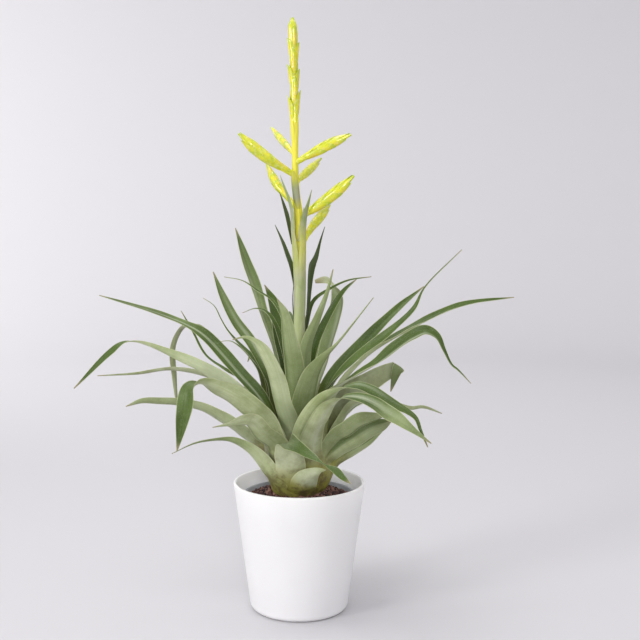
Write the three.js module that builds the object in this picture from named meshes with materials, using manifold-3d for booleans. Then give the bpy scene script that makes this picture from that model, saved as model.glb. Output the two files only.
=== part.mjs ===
// Potted air plant with a tall yellow flower spike, standing in a plain white cover pot.
// Millimetres, +Z up, +X to the viewer's right, the viewer at -Y.
// The origin is the centre of the pot's flat underside.
import * as THREE from 'three';
import { mergeVertices } from 'three/addons/utils/BufferGeometryUtils.js';
import Module from 'manifold-3d';

const wasm = await Module();
wasm.setup();

// Driving dimensions
const GAP = 0.3;
const POT = { height: 128, rim: 67.5, base: 50.5, wall: 3.2, floor: 6, corner: 6, sides: 40 };
const LINER = {
  height: 109, rim: 58, base: 42, wall: 1.2, lip: 1.6, holes: 6, holeRadius: 4, holeCircle: 25, sides: 32,
};
const SOIL = {
  rim: 54.2, edge: 110, shoulder: 44.4, shoulderTop: 113.5, crown: 32.5, crownTop: 117,
  collar: 23.4, top: 119, sides: 32,
};
const STEM = {
  bottom: 60, radius: 7, plate: 20, plateTop: 113.6, plateDepth: 1.4, tip: 119.5, tipRadius: 4.6, sides: 16,
};
const BLADE = { thickness: 0.64, wrap: 25, channel: 40, tip: 0.55, taper: 2.2, narrow: 10 };
const SCAPE = { sides: 8, bractCup: 55 };
const SPIKE = { stalk: 1.9, belly: 4.2, tip: 0.6, bracts: 3, bractFoot: 0.26, lift: 1.1, sides: 6 };

// Sheaths are nested cones. Each layer starts further out and opens wider than the one inside it.
const SHEATH = {
  first: 5.9, pitch: 1.1, mouthZ: 150, mouthFirst: 8, mouthPitch: 3.2, flare: 1.25,
  top: 170, topStep: 3, belowPath: 11, lead: 12, clearance: 4,
};

const COLOUR = {
  pot: '#f2f1f0',
  liner: '#8d9096',
  soil: '#4a2c24',
  stem: '#6b6420',
  leaf: '#93a272',
  scape: '#a9b873',
  spike: '#d9dc35',
};

const UP = new THREE.Vector3(0, 0, 1);
const group = new THREE.Group();

// Shared helpers

function radians(degrees) {
  return THREE.MathUtils.degToRad(degrees);
}

function addMesh(name, geometry, colour, roughness) {
  const material = new THREE.MeshStandardMaterial({ color: colour, roughness, metalness: 0 });
  const mesh = new THREE.Mesh(geometry, material);
  mesh.name = name;
  group.add(mesh);
}

function toSolid(geometry) {
  const bare = geometry.clone();
  bare.deleteAttribute('normal');
  bare.deleteAttribute('uv');
  const merged = mergeVertices(bare, 1e-4);
  return new wasm.Manifold(new wasm.Mesh({
    numProp: 3,
    vertProperties: new Float32Array(merged.attributes.position.array),
    triVerts: new Uint32Array(merged.index.array),
  }));
}

function toGeometry(solid) {
  const mesh = solid.getMesh();
  const geometry = new THREE.BufferGeometry();
  geometry.setAttribute('position', new THREE.BufferAttribute(new Float32Array(mesh.vertProperties), 3));
  geometry.setIndex(new THREE.BufferAttribute(new Uint32Array(mesh.triVerts), 1));
  return geometry;
}

function fuse(geometries) {
  return toGeometry(geometries.map(toSolid).reduce((whole, piece) => whole.add(piece)));
}

// Turned shape: the profile runs from the axis outwards, up and back, as [radius, height] points.
function turned(profile, sides) {
  const points = profile.map(([radius, height]) => new THREE.Vector2(radius, height));
  return new THREE.LatheGeometry(points, sides).rotateX(Math.PI / 2);
}

function arc(centreRadius, centreHeight, radius, from, to, steps) {
  return Array.from({ length: steps + 1 }, (_, i) => {
    const angle = radians(from + (to - from) * i / steps);
    return [centreRadius + radius * Math.cos(angle), centreHeight + radius * Math.sin(angle)];
  });
}

// Pot, inner pot, soil and the short stem

function coverPot() {
  const { height, rim, base, wall, floor, corner } = POT;
  const lip = wall / 2;
  return turned([
    [0, 0],
    ...arc(base - corner, corner, corner, -90, -8, 4),
    ...arc(rim - lip, height - lip, lip, 0, 180, 4),
    [base - wall, floor + corner],
    [base - wall - corner / 2, floor],
    [0, floor],
  ], POT.sides);
}

function nurseryPot() {
  const { height, rim, base, wall, lip, holes, holeRadius, holeCircle } = LINER;
  const foot = POT.floor + GAP;
  const shell = turned([
    [0, foot],
    [base, foot],
    [rim - lip, foot + height - lip],
    [rim, foot + height - lip],
    [rim, foot + height],
    [rim - lip - wall, foot + height],
    [base - wall, foot + wall],
    [0, foot + wall],
  ], LINER.sides);
  let solid = toSolid(shell);
  for (let i = 0; i < holes; i += 1) {
    const turn = (i / holes) * Math.PI * 2;
    const drill = new THREE.CylinderGeometry(holeRadius, holeRadius, wall * 4, 8).rotateX(Math.PI / 2);
    drill.translate(Math.cos(turn) * holeCircle, Math.sin(turn) * holeCircle, foot);
    solid = solid.subtract(toSolid(drill));
  }
  return toGeometry(solid);
}

// Bark mix: a low mound with a stepped hole that holds the stem and the feet of the leaves.
function soil() {
  const bottom = POT.floor + LINER.wall + GAP * 2;
  const seat = STEM.plateTop - STEM.plateDepth - GAP;
  return turned([
    [0, bottom],
    [LINER.base - LINER.wall - GAP * 2, bottom],
    [SOIL.rim, SOIL.edge],
    [SOIL.shoulder, SOIL.shoulderTop],
    [SOIL.crown, SOIL.crownTop],
    [SOIL.collar, SOIL.top],
    [STEM.plate + GAP, seat],
    [STEM.radius + GAP, seat],
    [STEM.radius + GAP, STEM.bottom - GAP],
    [0, STEM.bottom - GAP],
  ], SOIL.sides);
}

// Short stem: a root stub, a flat plate that the sheaths stand on, and a tip under the flower stalk.
function shortStem() {
  const { bottom, radius, plate, plateTop, plateDepth, tip, tipRadius } = STEM;
  return turned([
    [0, bottom],
    [radius, bottom],
    [radius, plateTop - plateDepth],
    [plate, plateTop - plateDepth],
    [plate, plateTop],
    [tipRadius, plateTop],
    [tipRadius, tip],
    [0, tip],
  ], STEM.sides);
}

// Blades: each is swept along a smooth path, with a curved channel for its section.

// Radius of a nested sheath cone at a height; layer 0 is the innermost.
function sheathRadius(layer, z) {
  const foot = SHEATH.first + SHEATH.pitch * layer;
  const mouth = SHEATH.mouthFirst + SHEATH.mouthPitch * layer;
  const rise = Math.max(0, (z - STEM.plateTop) / (SHEATH.mouthZ - STEM.plateTop));
  return foot + (mouth - foot) * rise ** SHEATH.flare;
}

function sheathTop(leaf) {
  return Math.min(SHEATH.top - SHEATH.topStep * leaf.layer, leaf.path[0][2] - SHEATH.belowPath);
}

function onSheath(layer, heading, z) {
  const radius = sheathRadius(layer, z);
  return new THREE.Vector3(radius * Math.cos(heading), radius * Math.sin(heading), z);
}

// Leaves are listed from the heart outwards. Each path is the free part of the midrib, from
// the mouth of the rosette to the tip. A high taper keeps the blade broad nearly to its tip.
// Angles are in degrees: wrap is half the sheath's arc, turn twists the middle of the blade
// about its midrib, and tipTurn twists its tip.
const LEAVES = [
  {
    name: 'leaf_heart_right', width: 13, turn: 35,
    path: [[11, 7, 236], [17, 9, 268], [31, 18, 297], [46, 24, 321], [61, 32, 334]],
  },
  {
    name: 'leaf_heart_crossing', width: 7, wrap: 14,
    path: [[4, 14, 262], [8, 13, 290], [15, 9, 313], [30, 2, 325], [50, -4, 335], [74, -8, 339]],
  },
  {
    name: 'leaf_heart_left_curled', width: 7, wrap: 14,
    path: [[-14, 16, 246], [-24, 26, 282], [-35, 34, 299], [-47, 40, 302], [-61, 46, 297]],
  },
  {
    name: 'leaf_heart_left_thread', width: 7, wrap: 14,
    path: [
      [-10, 22, 240], [-14, 29, 281], [-28, 38, 310], [-45, 45, 321],
      [-61, 52, 331], [-82, 60, 335],
    ],
  },
  {
    name: 'leaf_front_right_upright', width: 16, taper: 3,
    path: [[4, -18, 225], [8, -32, 272], [18, -42, 299], [27, -52, 324], [33, -60, 349]],
  },
  {
    name: 'leaf_back_left_broad', width: 24, taper: 4,
    path: [[-10, 20, 220], [-22, 40, 276], [-28, 56, 305], [-38, 66, 326]],
  },
  {
    name: 'leaf_back_right_curled', width: 17, taper: 3,
    path: [
      [14, 20, 214], [27, 30, 254], [37, 38, 290], [42, 42, 313],
      [39, 44, 325], [31, 44, 333], [17, 42, 331],
    ],
  },
  {
    name: 'leaf_front_upright', width: 30, taper: 4,
    path: [[-5, -19, 195], [-9, -36, 238], [-12, -55, 277], [-18, -72, 309], [-21, -80, 322]],
  },
  {
    name: 'leaf_left_tall', width: 18, taper: 3, turn: -15,
    path: [
      [-15, 25, 215], [-25, 41, 260], [-38, 56, 294], [-47, 66, 322],
      [-58, 74, 350], [-71, 82, 388],
    ],
  },
  {
    name: 'leaf_left_upright', width: 15, turn: -40,
    path: [[-28, 24, 222], [-49, 32, 264], [-68, 38, 289], [-82, 44, 315], [-93, 50, 341]],
  },
  {
    name: 'leaf_right_upright', width: 20, turn: 40,
    path: [[31, 11, 224], [56, 22, 263], [86, 34, 293], [114, 44, 313], [135, 52, 325]],
  },
  {
    name: 'leaf_front_right_thread', width: 28, taper: 1.5,
    path: [
      [3, -28, 203], [10, -46, 239], [22, -62, 262], [36, -74, 278],
      [54, -84, 302], [70, -92, 324],
    ],
  },
  {
    name: 'leaf_back_upright', width: 20,
    path: [[-2, 34, 220], [-4, 62, 262], [-10, 92, 285], [-14, 125, 290], [-14, 158, 278]],
  },
  {
    name: 'leaf_left_high_long', width: 20, turn: -55,
    path: [
      [-34, -3, 203], [-63, 5, 239], [-99, 16, 276], [-117, 22, 286],
      [-153, 32, 299], [-215, 44, 316],
    ],
  },
  {
    name: 'leaf_right_hair_tip', width: 18, taper: 1.6, turn: 50,
    path: [
      [26, -20, 218], [58, -27, 258], [89, -34, 284], [111, -40, 309],
      [124, -44, 330], [160, -50, 368],
    ],
  },
  {
    name: 'leaf_right_long', width: 18, turn: -30,
    path: [[33, -4, 206], [65, 0, 251], [110, 8, 280], [169, 18, 307], [228, 30, 315]],
  },
  {
    name: 'leaf_front_left_broad', width: 25, taper: 3, tipTurn: 30,
    path: [
      [-9, -26, 184], [-15, -48, 219], [-26, -76, 256], [-36, -94, 276],
      [-47, -102, 290], [-66, -106, 290],
    ],
  },
  {
    name: 'leaf_back_left_thread', width: 9, wrap: 18, turn: -20,
    path: [[-35, 28, 230], [-51, 40, 251], [-69, 54, 265], [-85, 66, 282], [-107, 84, 311]],
  },
  {
    name: 'leaf_back_right_arching', width: 22,
    path: [[14, 38, 215], [22, 68, 250], [28, 105, 268], [34, 140, 268], [40, 172, 250]],
  },
  {
    name: 'leaf_right_drooping', width: 19, turn: -40,
    path: [
      [28, -28, 208], [75, -50, 257], [113, -68, 283], [128, -74, 287],
      [141, -80, 271], [162, -86, 243],
    ],
  },
  {
    name: 'leaf_left_long', width: 22, turn: 45, tipTurn: -50,
    path: [
      [-27, -22, 182], [-42, -30, 205], [-83, -42, 243], [-127, -50, 266],
      [-167, -56, 278], [-184, -60, 268], [-218, -66, 234],
    ],
  },
  {
    name: 'leaf_left_slim', width: 12, wrap: 18, turn: 45,
    path: [
      [-39, 10, 204], [-73, 26, 221], [-106, 40, 232], [-140, 54, 235],
      [-180, 68, 228], [-224, 80, 224],
    ],
  },
  {
    name: 'leaf_right_folded', width: 24, taper: 5, turn: 30, tipTurn: -50,
    path: [[37, 14, 203], [75, 30, 223], [99, 40, 239], [111, 44, 236], [106, 46, 223], [98, 46, 207]],
  },
  {
    name: 'leaf_front_right_arching', width: 22, tipTurn: 110,
    path: [
      [2, -38, 186], [15, -52, 212], [30, -62, 228], [49, -72, 234],
      [69, -82, 234], [88, -90, 226], [111, -98, 204], [119, -102, 184],
    ],
  },
  {
    name: 'leaf_back_left_arching', width: 22,
    path: [[-18, 40, 206], [-32, 78, 240], [-44, 115, 250], [-54, 150, 244], [-62, 178, 226]],
  },
  {
    name: 'leaf_right_low_thread', width: 12, wrap: 18, turn: -30,
    path: [[33, -6, 168], [44, 2, 190], [56, 12, 204], [80, 27, 209], [108, 47, 201], [155, 70, 185]],
  },
  {
    name: 'leaf_left_folded', width: 22, taper: 5, turn: 40, tipTurn: -60,
    path: [
      [-28, -28, 180], [-44, -38, 206], [-77, -50, 230], [-98, -56, 237],
      [-109, -58, 231], [-114, -60, 210], [-119, -60, 172],
    ],
  },
  {
    name: 'leaf_back_left_curled', width: 9, wrap: 18,
    path: [[-42, 40, 232], [-55, 52, 250], [-66, 62, 259], [-76, 68, 264], [-87, 72, 263]],
  },
  {
    name: 'leaf_front_right_pale', width: 24, tipTurn: 60,
    path: [
      [12, -38, 176], [25, -60, 204], [42, -80, 224], [59, -98, 232],
      [75, -110, 227], [97, -120, 214], [120, -128, 194],
    ],
  },
  {
    name: 'leaf_left_thread', width: 9, wrap: 18, turn: -20,
    path: [[-52, 33, 220], [-78, 40, 236], [-101, 50, 251], [-117, 60, 277], [-133, 70, 298]],
  },
  {
    name: 'leaf_back_low', width: 22,
    path: [[8, 48, 178], [16, 92, 205], [24, 135, 205], [32, 172, 185]],
  },
  {
    name: 'leaf_front_left_curled', width: 28, taper: 1.8, turn: 25,
    path: [
      [-20, -38, 171], [-34, -56, 190], [-45, -72, 207], [-54, -83, 212],
      [-66, -92, 207], [-80, -99, 202],
    ],
  },
  {
    name: 'leaf_right_low_broad', width: 21, taper: 3, turn: -35,
    path: [[35, -24, 168], [50, -34, 188], [68, -40, 202], [92, -46, 200]],
  },
  {
    name: 'leaf_back_left_drooping', width: 10, wrap: 18, turn: -30,
    path: [
      [-64, 54, 233], [-94, 76, 262], [-114, 90, 279], [-130, 99, 276],
      [-143, 108, 253], [-139, 116, 179],
    ],
  },
  {
    name: 'leaf_back_right_low', width: 22,
    path: [[30, 36, 170], [62, 72, 192], [92, 106, 190], [118, 134, 172]],
  },
  {
    name: 'leaf_left_low', width: 18, turn: 45,
    path: [
      [-44, 2, 157], [-62, 9, 179], [-94, 20, 197], [-130, 26, 204],
      [-164, 32, 206], [-186, 36, 197],
    ],
  },
  {
    name: 'leaf_right_low', width: 22, taper: 3, turn: -45,
    path: [[39, -21, 146], [55, -25, 162], [76, -27, 176], [96, -28, 191]],
  },
  {
    name: 'leaf_back_left_low', width: 22,
    path: [[-12, 50, 170], [-28, 88, 196], [-44, 130, 196], [-58, 168, 176]],
  },
  {
    name: 'leaf_front_folded', width: 32, tipTurn: 70,
    path: [
      [-9, -36, 147], [-5, -50, 170], [6, -64, 174], [22, -80, 165],
      [35, -92, 161], [47, -102, 150],
    ],
  },
  {
    name: 'leaf_right_lowest', width: 17, turn: -20,
    path: [[43, 0, 139], [58, 1, 152], [78, 3, 165], [90, 6, 175]],
  },
  {
    name: 'leaf_front_short', width: 30,
    path: [[5, -37, 137], [12, -47, 149], [22, -55, 152], [31, -63, 148]],
  },
  {
    name: 'leaf_left_lowest', width: 24, taper: 1.5, turn: 40,
    path: [[-35, -23, 136], [-53, -25, 162], [-80, -28, 175], [-105, -32, 173], [-127, -36, 164]],
  },
];

// A leaf lies one sheath further out than every earlier leaf that its foot overlaps.
function stackSheaths(leaves) {
  leaves.forEach((leaf, index) => {
    leaf.wrap ??= BLADE.wrap;
    leaf.taper ??= BLADE.taper;
    leaf.turn ??= 0;
    leaf.tipTurn ??= leaf.turn;
    leaf.heading = Math.atan2(leaf.path[0][1], leaf.path[0][0]);
    leaf.layer = 0;
    for (const inner of leaves.slice(0, index)) {
      const turns = (leaf.heading - inner.heading) / (Math.PI * 2);
      const apart = Math.abs(turns - Math.round(turns)) * 360;
      if (apart < leaf.wrap + inner.wrap + SHEATH.clearance) {
        leaf.layer = Math.max(leaf.layer, inner.layer + 1);
      }
    }
  });
}

// Stations at the given places along a path, which are counted in spans of its points. Each
// has its centre, its directions and the section that the profile gives for it.
function stationsAlong(centreAt, places, across, facingAt, profile) {
  const fine = 6;
  const nudge = 0.001;
  const width = across.clone();
  const stations = [];
  let travelled = 0;
  let centre = centreAt(places[0]);
  places.forEach((place, index) => {
    const before = places[Math.max(index - 1, 0)];
    for (let i = 1; i <= fine; i += 1) {
      const here = before + (place - before) * i / fine;
      const next = centreAt(here);
      travelled += next.distanceTo(centre);
      centre = next;
      const along = centreAt(here + nudge).sub(centreAt(here - nudge)).normalize();
      const facing = facingAt(along, here);
      width.addScaledVector(facing, -width.dot(facing)).normalize();
      if (i === fine) {
        stations.push({ centre, facing, across: width.clone(), travelled, place, lean: along.dot(facing) });
      }
    }
  });
  for (const station of stations) {
    Object.assign(station, profile(station, travelled));
    station.across.applyAxisAngle(station.facing, station.turn ?? 0);
    station.inward = station.facing.clone().cross(station.across);
  }
  return stations;
}

// Smooth path through points; a place is counted in spans and may lie just past an end.
function smoothPath(points) {
  const curve = new THREE.CatmullRomCurve3(points, false, 'centripetal');
  const spans = points.length - 1;
  return (place) => curve.getPoint(Math.min(Math.max(place / spans, 0), 1));
}

function evenPlaces(spans, steps) {
  return Array.from({ length: spans * steps + 1 }, (_, i) => i / steps);
}

// Closed blade through its stations: an arc of even thickness, split alike on both faces.
function bladeGeometry(stations, acrossCount) {
  const positions = [];
  const index = [];
  const row = (acrossCount + 1) * 2;
  for (const { centre, across, inward, halfWidth, halfAngle, thickness } of stations) {
    const radius = halfWidth / halfAngle;
    for (const side of [1, -1]) {
      for (let j = 0; j <= acrossCount; j += 1) {
        const angle = halfAngle * (2 * j / acrossCount - 1);
        const reach = radius - side * thickness / 2;
        const point = centre.clone()
          .addScaledVector(across, reach * Math.sin(angle))
          .addScaledVector(inward, radius - reach * Math.cos(angle));
        positions.push(point.x, point.y, point.z);
      }
    }
  }
  const at = (i, side, j) => i * row + side * (acrossCount + 1) + j;
  const quad = (a, b, c, d) => index.push(a, c, b, a, d, c);
  for (let i = 0; i < stations.length - 1; i += 1) {
    for (let j = 0; j < acrossCount; j += 1) {
      index.push(at(i, 0, j), at(i + 1, 0, j + 1), at(i, 0, j + 1));
      index.push(at(i, 0, j), at(i + 1, 0, j), at(i + 1, 0, j + 1));
      index.push(at(i, 1, j), at(i, 1, j + 1), at(i + 1, 1, j + 1));
      index.push(at(i, 1, j), at(i + 1, 1, j + 1), at(i + 1, 1, j));
    }
    quad(at(i, 1, 0), at(i, 0, 0), at(i + 1, 0, 0), at(i + 1, 1, 0));
    quad(at(i, 0, acrossCount), at(i, 1, acrossCount), at(i + 1, 1, acrossCount), at(i + 1, 0, acrossCount));
  }
  const last = stations.length - 1;
  for (let j = 0; j < acrossCount; j += 1) {
    quad(at(0, 0, j), at(0, 1, j), at(0, 1, j + 1), at(0, 0, j + 1));
    quad(at(last, 0, j + 1), at(last, 1, j + 1), at(last, 1, j), at(last, 0, j));
  }
  const geometry = new THREE.BufferGeometry();
  geometry.setAttribute('position', new THREE.Float32BufferAttribute(positions, 3));
  geometry.setIndex(index);
  return geometry;
}

// The sheath follows its cone from the foot to the mouth. Over the first spans of its free
// path the blade opens to its own width and channel, and it turns on towards the tip.
function leafStations(leaf) {
  const { layer, heading, width, wrap, taper, turn, tipTurn } = leaf;
  const { lerp, smoothstep } = THREE.MathUtils;
  const footZ = STEM.plateTop + GAP;
  const mouthZ = sheathTop(leaf);
  const blade = smoothPath([
    onSheath(layer, heading, mouthZ - SHEATH.lead),
    onSheath(layer, heading, mouthZ),
    ...leaf.path.map((point) => new THREE.Vector3(...point)),
  ]);
  const spans = leaf.path.length + 1;
  const centreAt = (place) => (place < 1
    ? onSheath(layer, heading, lerp(footZ, mouthZ, place))
    : blade(Math.min(place, spans)));
  const facingAt = (along, place) => UP.clone().lerp(along, smoothstep(place, 1, 2)).normalize();
  const across = new THREE.Vector3(-Math.sin(heading), Math.cos(heading), 0);
  const profile = ({ centre, place, travelled, lean }, length) => {
    const body = width / 2 * (1 - (travelled / length) ** taper) + BLADE.tip;
    const sheath = radians(wrap) * sheathRadius(layer, Math.min(centre.z, mouthZ));
    const opened = smoothstep(place, 1, 2.2);
    return {
      turn: radians(lerp(turn * smoothstep(place, 1, 3), tipTurn, smoothstep(place, 3, spans))),
      halfWidth: lerp(sheath, body, opened),
      halfAngle: radians(lerp(wrap, BLADE.channel, opened)),
      thickness: BLADE.thickness / lean,
    };
  };
  return stationsAlong(centreAt, evenPlaces(spans, 2), across, facingAt, profile);
}

// Flower stalk: centres [x, y, z] and radii from the stem's top to the foot of the end spike.
const SCAPE_AXIS = [
  { at: [0, 0, 119.9], radius: 4.4 },
  { at: [0, 0, 200], radius: 4.6 },
  { at: [0, 0, 268], radius: 5.2 },
  { at: [0.5, 0, 318], radius: 5.6 },
  { at: [0.8, 0, 352], radius: 5.2 },
  { at: [-0.5, 0, 398], radius: 4.2 },
  { at: [-3.6, 0, 430], radius: 3.8 },
  { at: [-4.3, 0, 468], radius: 3.2 },
  { at: [-4.7, 0, 498], radius: 3 },
];

// Bracts that clasp the stalk; the first point lies inside it.
const SCAPE_BRACTS = [
  { width: 8, path: [[3, 2, 272], [6.5, 3, 305], [11, 6, 338], [18, 9, 360], [27, 14, 395]] },
  { width: 6, path: [[-2, 2, 300], [-5.5, 4, 322], [-11, 9, 345], [-17, 16, 365], [-28, 30, 395]] },
  { width: 9, path: [[2, -2, 330], [4, -5.5, 360], [5, -7, 392], [8, -10, 412], [12, -11, 428]] },
  { width: 9, path: [[-1, -2, 338], [-3.5, -5, 368], [-6, -6, 396], [-12, -5, 421], [-19, -3, 442]] },
  { width: 5, path: [[-2, 1, 374], [-6, 4, 390], [-11, 5, 404], [-20, 5, 426]] },
  { width: 8, path: [[-3, -1, 410], [-4, -4.2, 424], [-5.5, -6, 440], [-8, -9, 450]] },
];

// Side spikes, lowest first: from the middle of the stalk to the tip.
const SIDE_SPIKES = [
  { name: 'spike_back_right_low', path: [[0.5, 0, 366], [13, 14, 389], [22, 23, 400], [33, 34, 413]] },
  { name: 'spike_right_low', path: [[-0.5, 0, 399], [16, -1, 409], [37, -10, 425], [56, -14, 442]] },
  { name: 'spike_back_left', path: [[-1.5, 0, 408], [-19, 17, 428], [-25, 23, 437], [-35, 34, 457]] },
  { name: 'spike_back_right_high', path: [[-3.6, 0, 434], [3, 10, 442], [11, 22, 450], [24, 42, 463]] },
  { name: 'spike_left', path: [[-4, 0, 443], [-25, -8, 455], [-44, -11, 469], [-62, -14, 485]] },
  { name: 'spike_right_high', path: [[-4, 0, 456], [13, -5, 465], [32, -8, 475], [53, -12, 484]] },
  { name: 'spike_back_left_high', path: [[-4.2, 0, 463], [-11, 11, 472], [-19, 26, 482], [-30, 44, 496]] },
];

const END_SPIKE = {
  name: 'spike_end',
  slim: 3,
  bulb: 4.6,
  bracts: 8,
  reach: 0.22,
  bractWidth: 8,
  bractCup: 62,
  lift: 2.4,
  path: [[-4.7, 0, 498.3], [-5.2, 0, 532], [-5.8, 0, 566], [-6.4, 0, 588], [-6.9, 0, 606]],
};

// Closed rod through its stations, with a polygon for its section.
function rodGeometry(stations, sides) {
  const positions = [];
  const index = [];
  const corner = (i, j) => i * sides + (j % sides);
  for (const { centre, across, inward, radius, upper = 0, lower = 0 } of stations) {
    for (let j = 0; j < sides; j += 1) {
      const angle = ((j + 0.5) / sides) * Math.PI * 2;
      const reach = radius + (Math.cos(angle) > 0 ? upper : lower);
      const point = centre.clone()
        .addScaledVector(across, reach * Math.cos(angle))
        .addScaledVector(inward, reach * Math.sin(angle));
      positions.push(point.x, point.y, point.z);
    }
  }
  const last = stations.length - 1;
  for (let j = 0; j < sides; j += 1) {
    for (let i = 0; i < last; i += 1) {
      index.push(corner(i, j), corner(i, j + 1), corner(i + 1, j + 1));
      index.push(corner(i, j), corner(i + 1, j + 1), corner(i + 1, j));
    }
  }
  for (let j = 1; j < sides - 1; j += 1) {
    index.push(corner(0, 0), corner(0, j + 1), corner(0, j));
    index.push(corner(last, 0), corner(last, j), corner(last, j + 1));
  }
  const geometry = new THREE.BufferGeometry();
  geometry.setAttribute('position', new THREE.Float32BufferAttribute(positions, 3));
  geometry.setIndex(index);
  return geometry;
}

function rodAlong(centreAt, places, radiusAt, sides) {
  const spans = places[places.length - 1];
  const facingAt = (along) => along;
  const profile = ({ place }) => ({ radius: radiusAt(place / spans) });
  const across = new THREE.Vector3(0, 1, 0);
  return rodGeometry(stationsAlong(centreAt, places, across, facingAt, profile), sides);
}

function scapeRod(clearance) {
  const points = SCAPE_AXIS.map(({ at }) => new THREE.Vector3(...at));
  const radiusAt = (t) => {
    const place = t * (SCAPE_AXIS.length - 1);
    const near = Math.min(Math.floor(place), SCAPE_AXIS.length - 2);
    const { radius } = SCAPE_AXIS[near];
    return THREE.MathUtils.lerp(radius, SCAPE_AXIS[near + 1].radius, place - near) + clearance;
  };
  const spans = points.length - 1;
  return rodAlong(smoothPath(points), evenPlaces(spans, 1), radiusAt, SCAPE.sides);
}

// Bract: a keeled blade that clasps what it grows from and ends in a point.
function bractGeometry(points, outward, width, cup) {
  const along = points[1].clone().sub(points[0]).normalize();
  const across = along.clone().cross(outward).normalize();
  const profile = ({ travelled }, length) => {
    const t = travelled / length;
    const outline = Math.sqrt(Math.max(1 - t ** 1.6, 0)) * (0.8 + 0.8 * t * (1 - t));
    return {
      halfWidth: width / 2 * outline + BLADE.tip,
      halfAngle: radians(cup),
      thickness: BLADE.thickness,
    };
  };
  const places = evenPlaces(points.length - 1, 1);
  return bladeGeometry(stationsAlong(smoothPath(points), places, across, (tangent) => tangent, profile), 2);
}

function scapeWithBracts() {
  const bracts = SCAPE_BRACTS.map(({ width, path }) => {
    const points = path.map((point) => new THREE.Vector3(...point));
    const outward = new THREE.Vector3(points[1].x, points[1].y, 0).normalize();
    return bractGeometry(points, outward, width, SCAPE.bractCup);
  });
  return fuse([scapeRod(0), ...bracts]);
}

// Outline of a side spike along its length t: a slim stalk, then a belly that narrows to a point.
function spikeRadius(t) {
  const { lerp, smoothstep } = THREE.MathUtils;
  const belly = lerp(SPIKE.stalk, SPIKE.belly, smoothstep(t, 0.22, 0.55));
  return lerp(belly, SPIKE.tip, smoothstep(t, 0.72, 1.04));
}

// Bracts in two rows stand out as steps: each rises to its tip and drops to the next one.
function bractStep(t) {
  const turn = t - Math.floor(t);
  const tipAt = 0.8;
  return turn < tipAt ? turn / tipAt : (1 - turn) / (1 - tipAt);
}

// Side spike, cut clear of the stalk that it grows from. The upper row of bracts is half a
// bract ahead of the lower one, and each bract has a station near its foot and one at its tip.
function sideSpike({ path }) {
  const points = path.map((point) => new THREE.Vector3(...point));
  const spans = points.length - 1;
  const { bracts, bractFoot, sides, lift } = SPIKE;
  const shares = [0, bractFoot * 0.6];
  for (let k = 0; k < bracts * 2; k += 1) {
    const foot = bractFoot + (1 - bractFoot) * k / (bracts * 2);
    shares.push(foot, foot + (1 - bractFoot) * 0.3 / bracts);
  }
  shares.push(1);
  const profile = ({ place }) => {
    const t = place / spans;
    const step = Math.max(t - bractFoot, 0) / (1 - bractFoot) * bracts;
    const raised = lift * THREE.MathUtils.smoothstep(t, bractFoot, bractFoot + 0.1) * (1 - t ** 6);
    return { radius: spikeRadius(t), upper: raised * bractStep(step), lower: raised * bractStep(step + 0.5) };
  };
  const places = shares.map((share) => share * spans);
  const stations = stationsAlong(smoothPath(points), places, UP, (along) => along, profile);
  const body = toSolid(rodGeometry(stations, sides));
  return toGeometry(body.subtract(toSolid(scapeRod(GAP))));
}

// End spike: a slim body that swells to a bulb, with standing bracts left and right by turns.
function endSpike() {
  const { lerp, smoothstep } = THREE.MathUtils;
  const points = END_SPIKE.path.map((point) => new THREE.Vector3(...point));
  const spans = points.length - 1;
  const centreAt = smoothPath(points);
  const { slim, bulb, bracts, reach, bractWidth, bractCup, lift } = END_SPIKE;
  const radiusAt = (t) => {
    const body = lerp(slim, bulb, smoothstep(t, 0.5, 0.85));
    return lerp(body, SPIKE.tip, smoothstep(t, 0.87, 1.02));
  };
  const pieces = [rodAlong(centreAt, evenPlaces(spans, 2), radiusAt, SPIKE.sides)];
  for (let k = 0; k < bracts; k += 1) {
    const from = 0.03 + (0.97 - reach) * k / (bracts - 1);
    const outward = new THREE.Vector3(k % 2 === 0 ? 1 : -1, 0.25, 0).normalize();
    const stops = [0, 0.5, 1].map((part) => {
      const t = from + reach * part;
      return centreAt(t * spans).addScaledVector(outward, radiusAt(t) * (0.2 + 0.6 * part) + lift * part);
    });
    pieces.push(bractGeometry(stops, outward, bractWidth, bractCup));
  }
  return fuse(pieces);
}

stackSheaths(LEAVES);
addMesh('cover_pot', coverPot(), COLOUR.pot, 0.45);
addMesh('nursery_pot', nurseryPot(), COLOUR.liner, 0.6);
addMesh('soil', soil(), COLOUR.soil, 0.95);
addMesh('short_stem', shortStem(), COLOUR.stem, 0.8);
for (const leaf of LEAVES) {
  const strips = leaf.width > BLADE.narrow ? 4 : 2;
  addMesh(leaf.name, bladeGeometry(leafStations(leaf), strips), COLOUR.leaf, 0.7);
}
addMesh('flower_stalk', scapeWithBracts(), COLOUR.scape, 0.6);
for (const spike of SIDE_SPIKES) {
  addMesh(spike.name, sideSpike(spike), COLOUR.spike, 0.5);
}
addMesh(END_SPIKE.name, endSpike(), COLOUR.spike, 0.5);

export default group;
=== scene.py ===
# Potted tillandsia: a rosette of long grey-green leaves with a branched yellow flower spike, in a
# plain white pot. Object space is metres, +Z up, +X to the viewer's right, the viewer at -Y.
# Lists and sizes below are in millimetres, as in the solids that the pieces stand for.
from math import pi, radians

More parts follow.
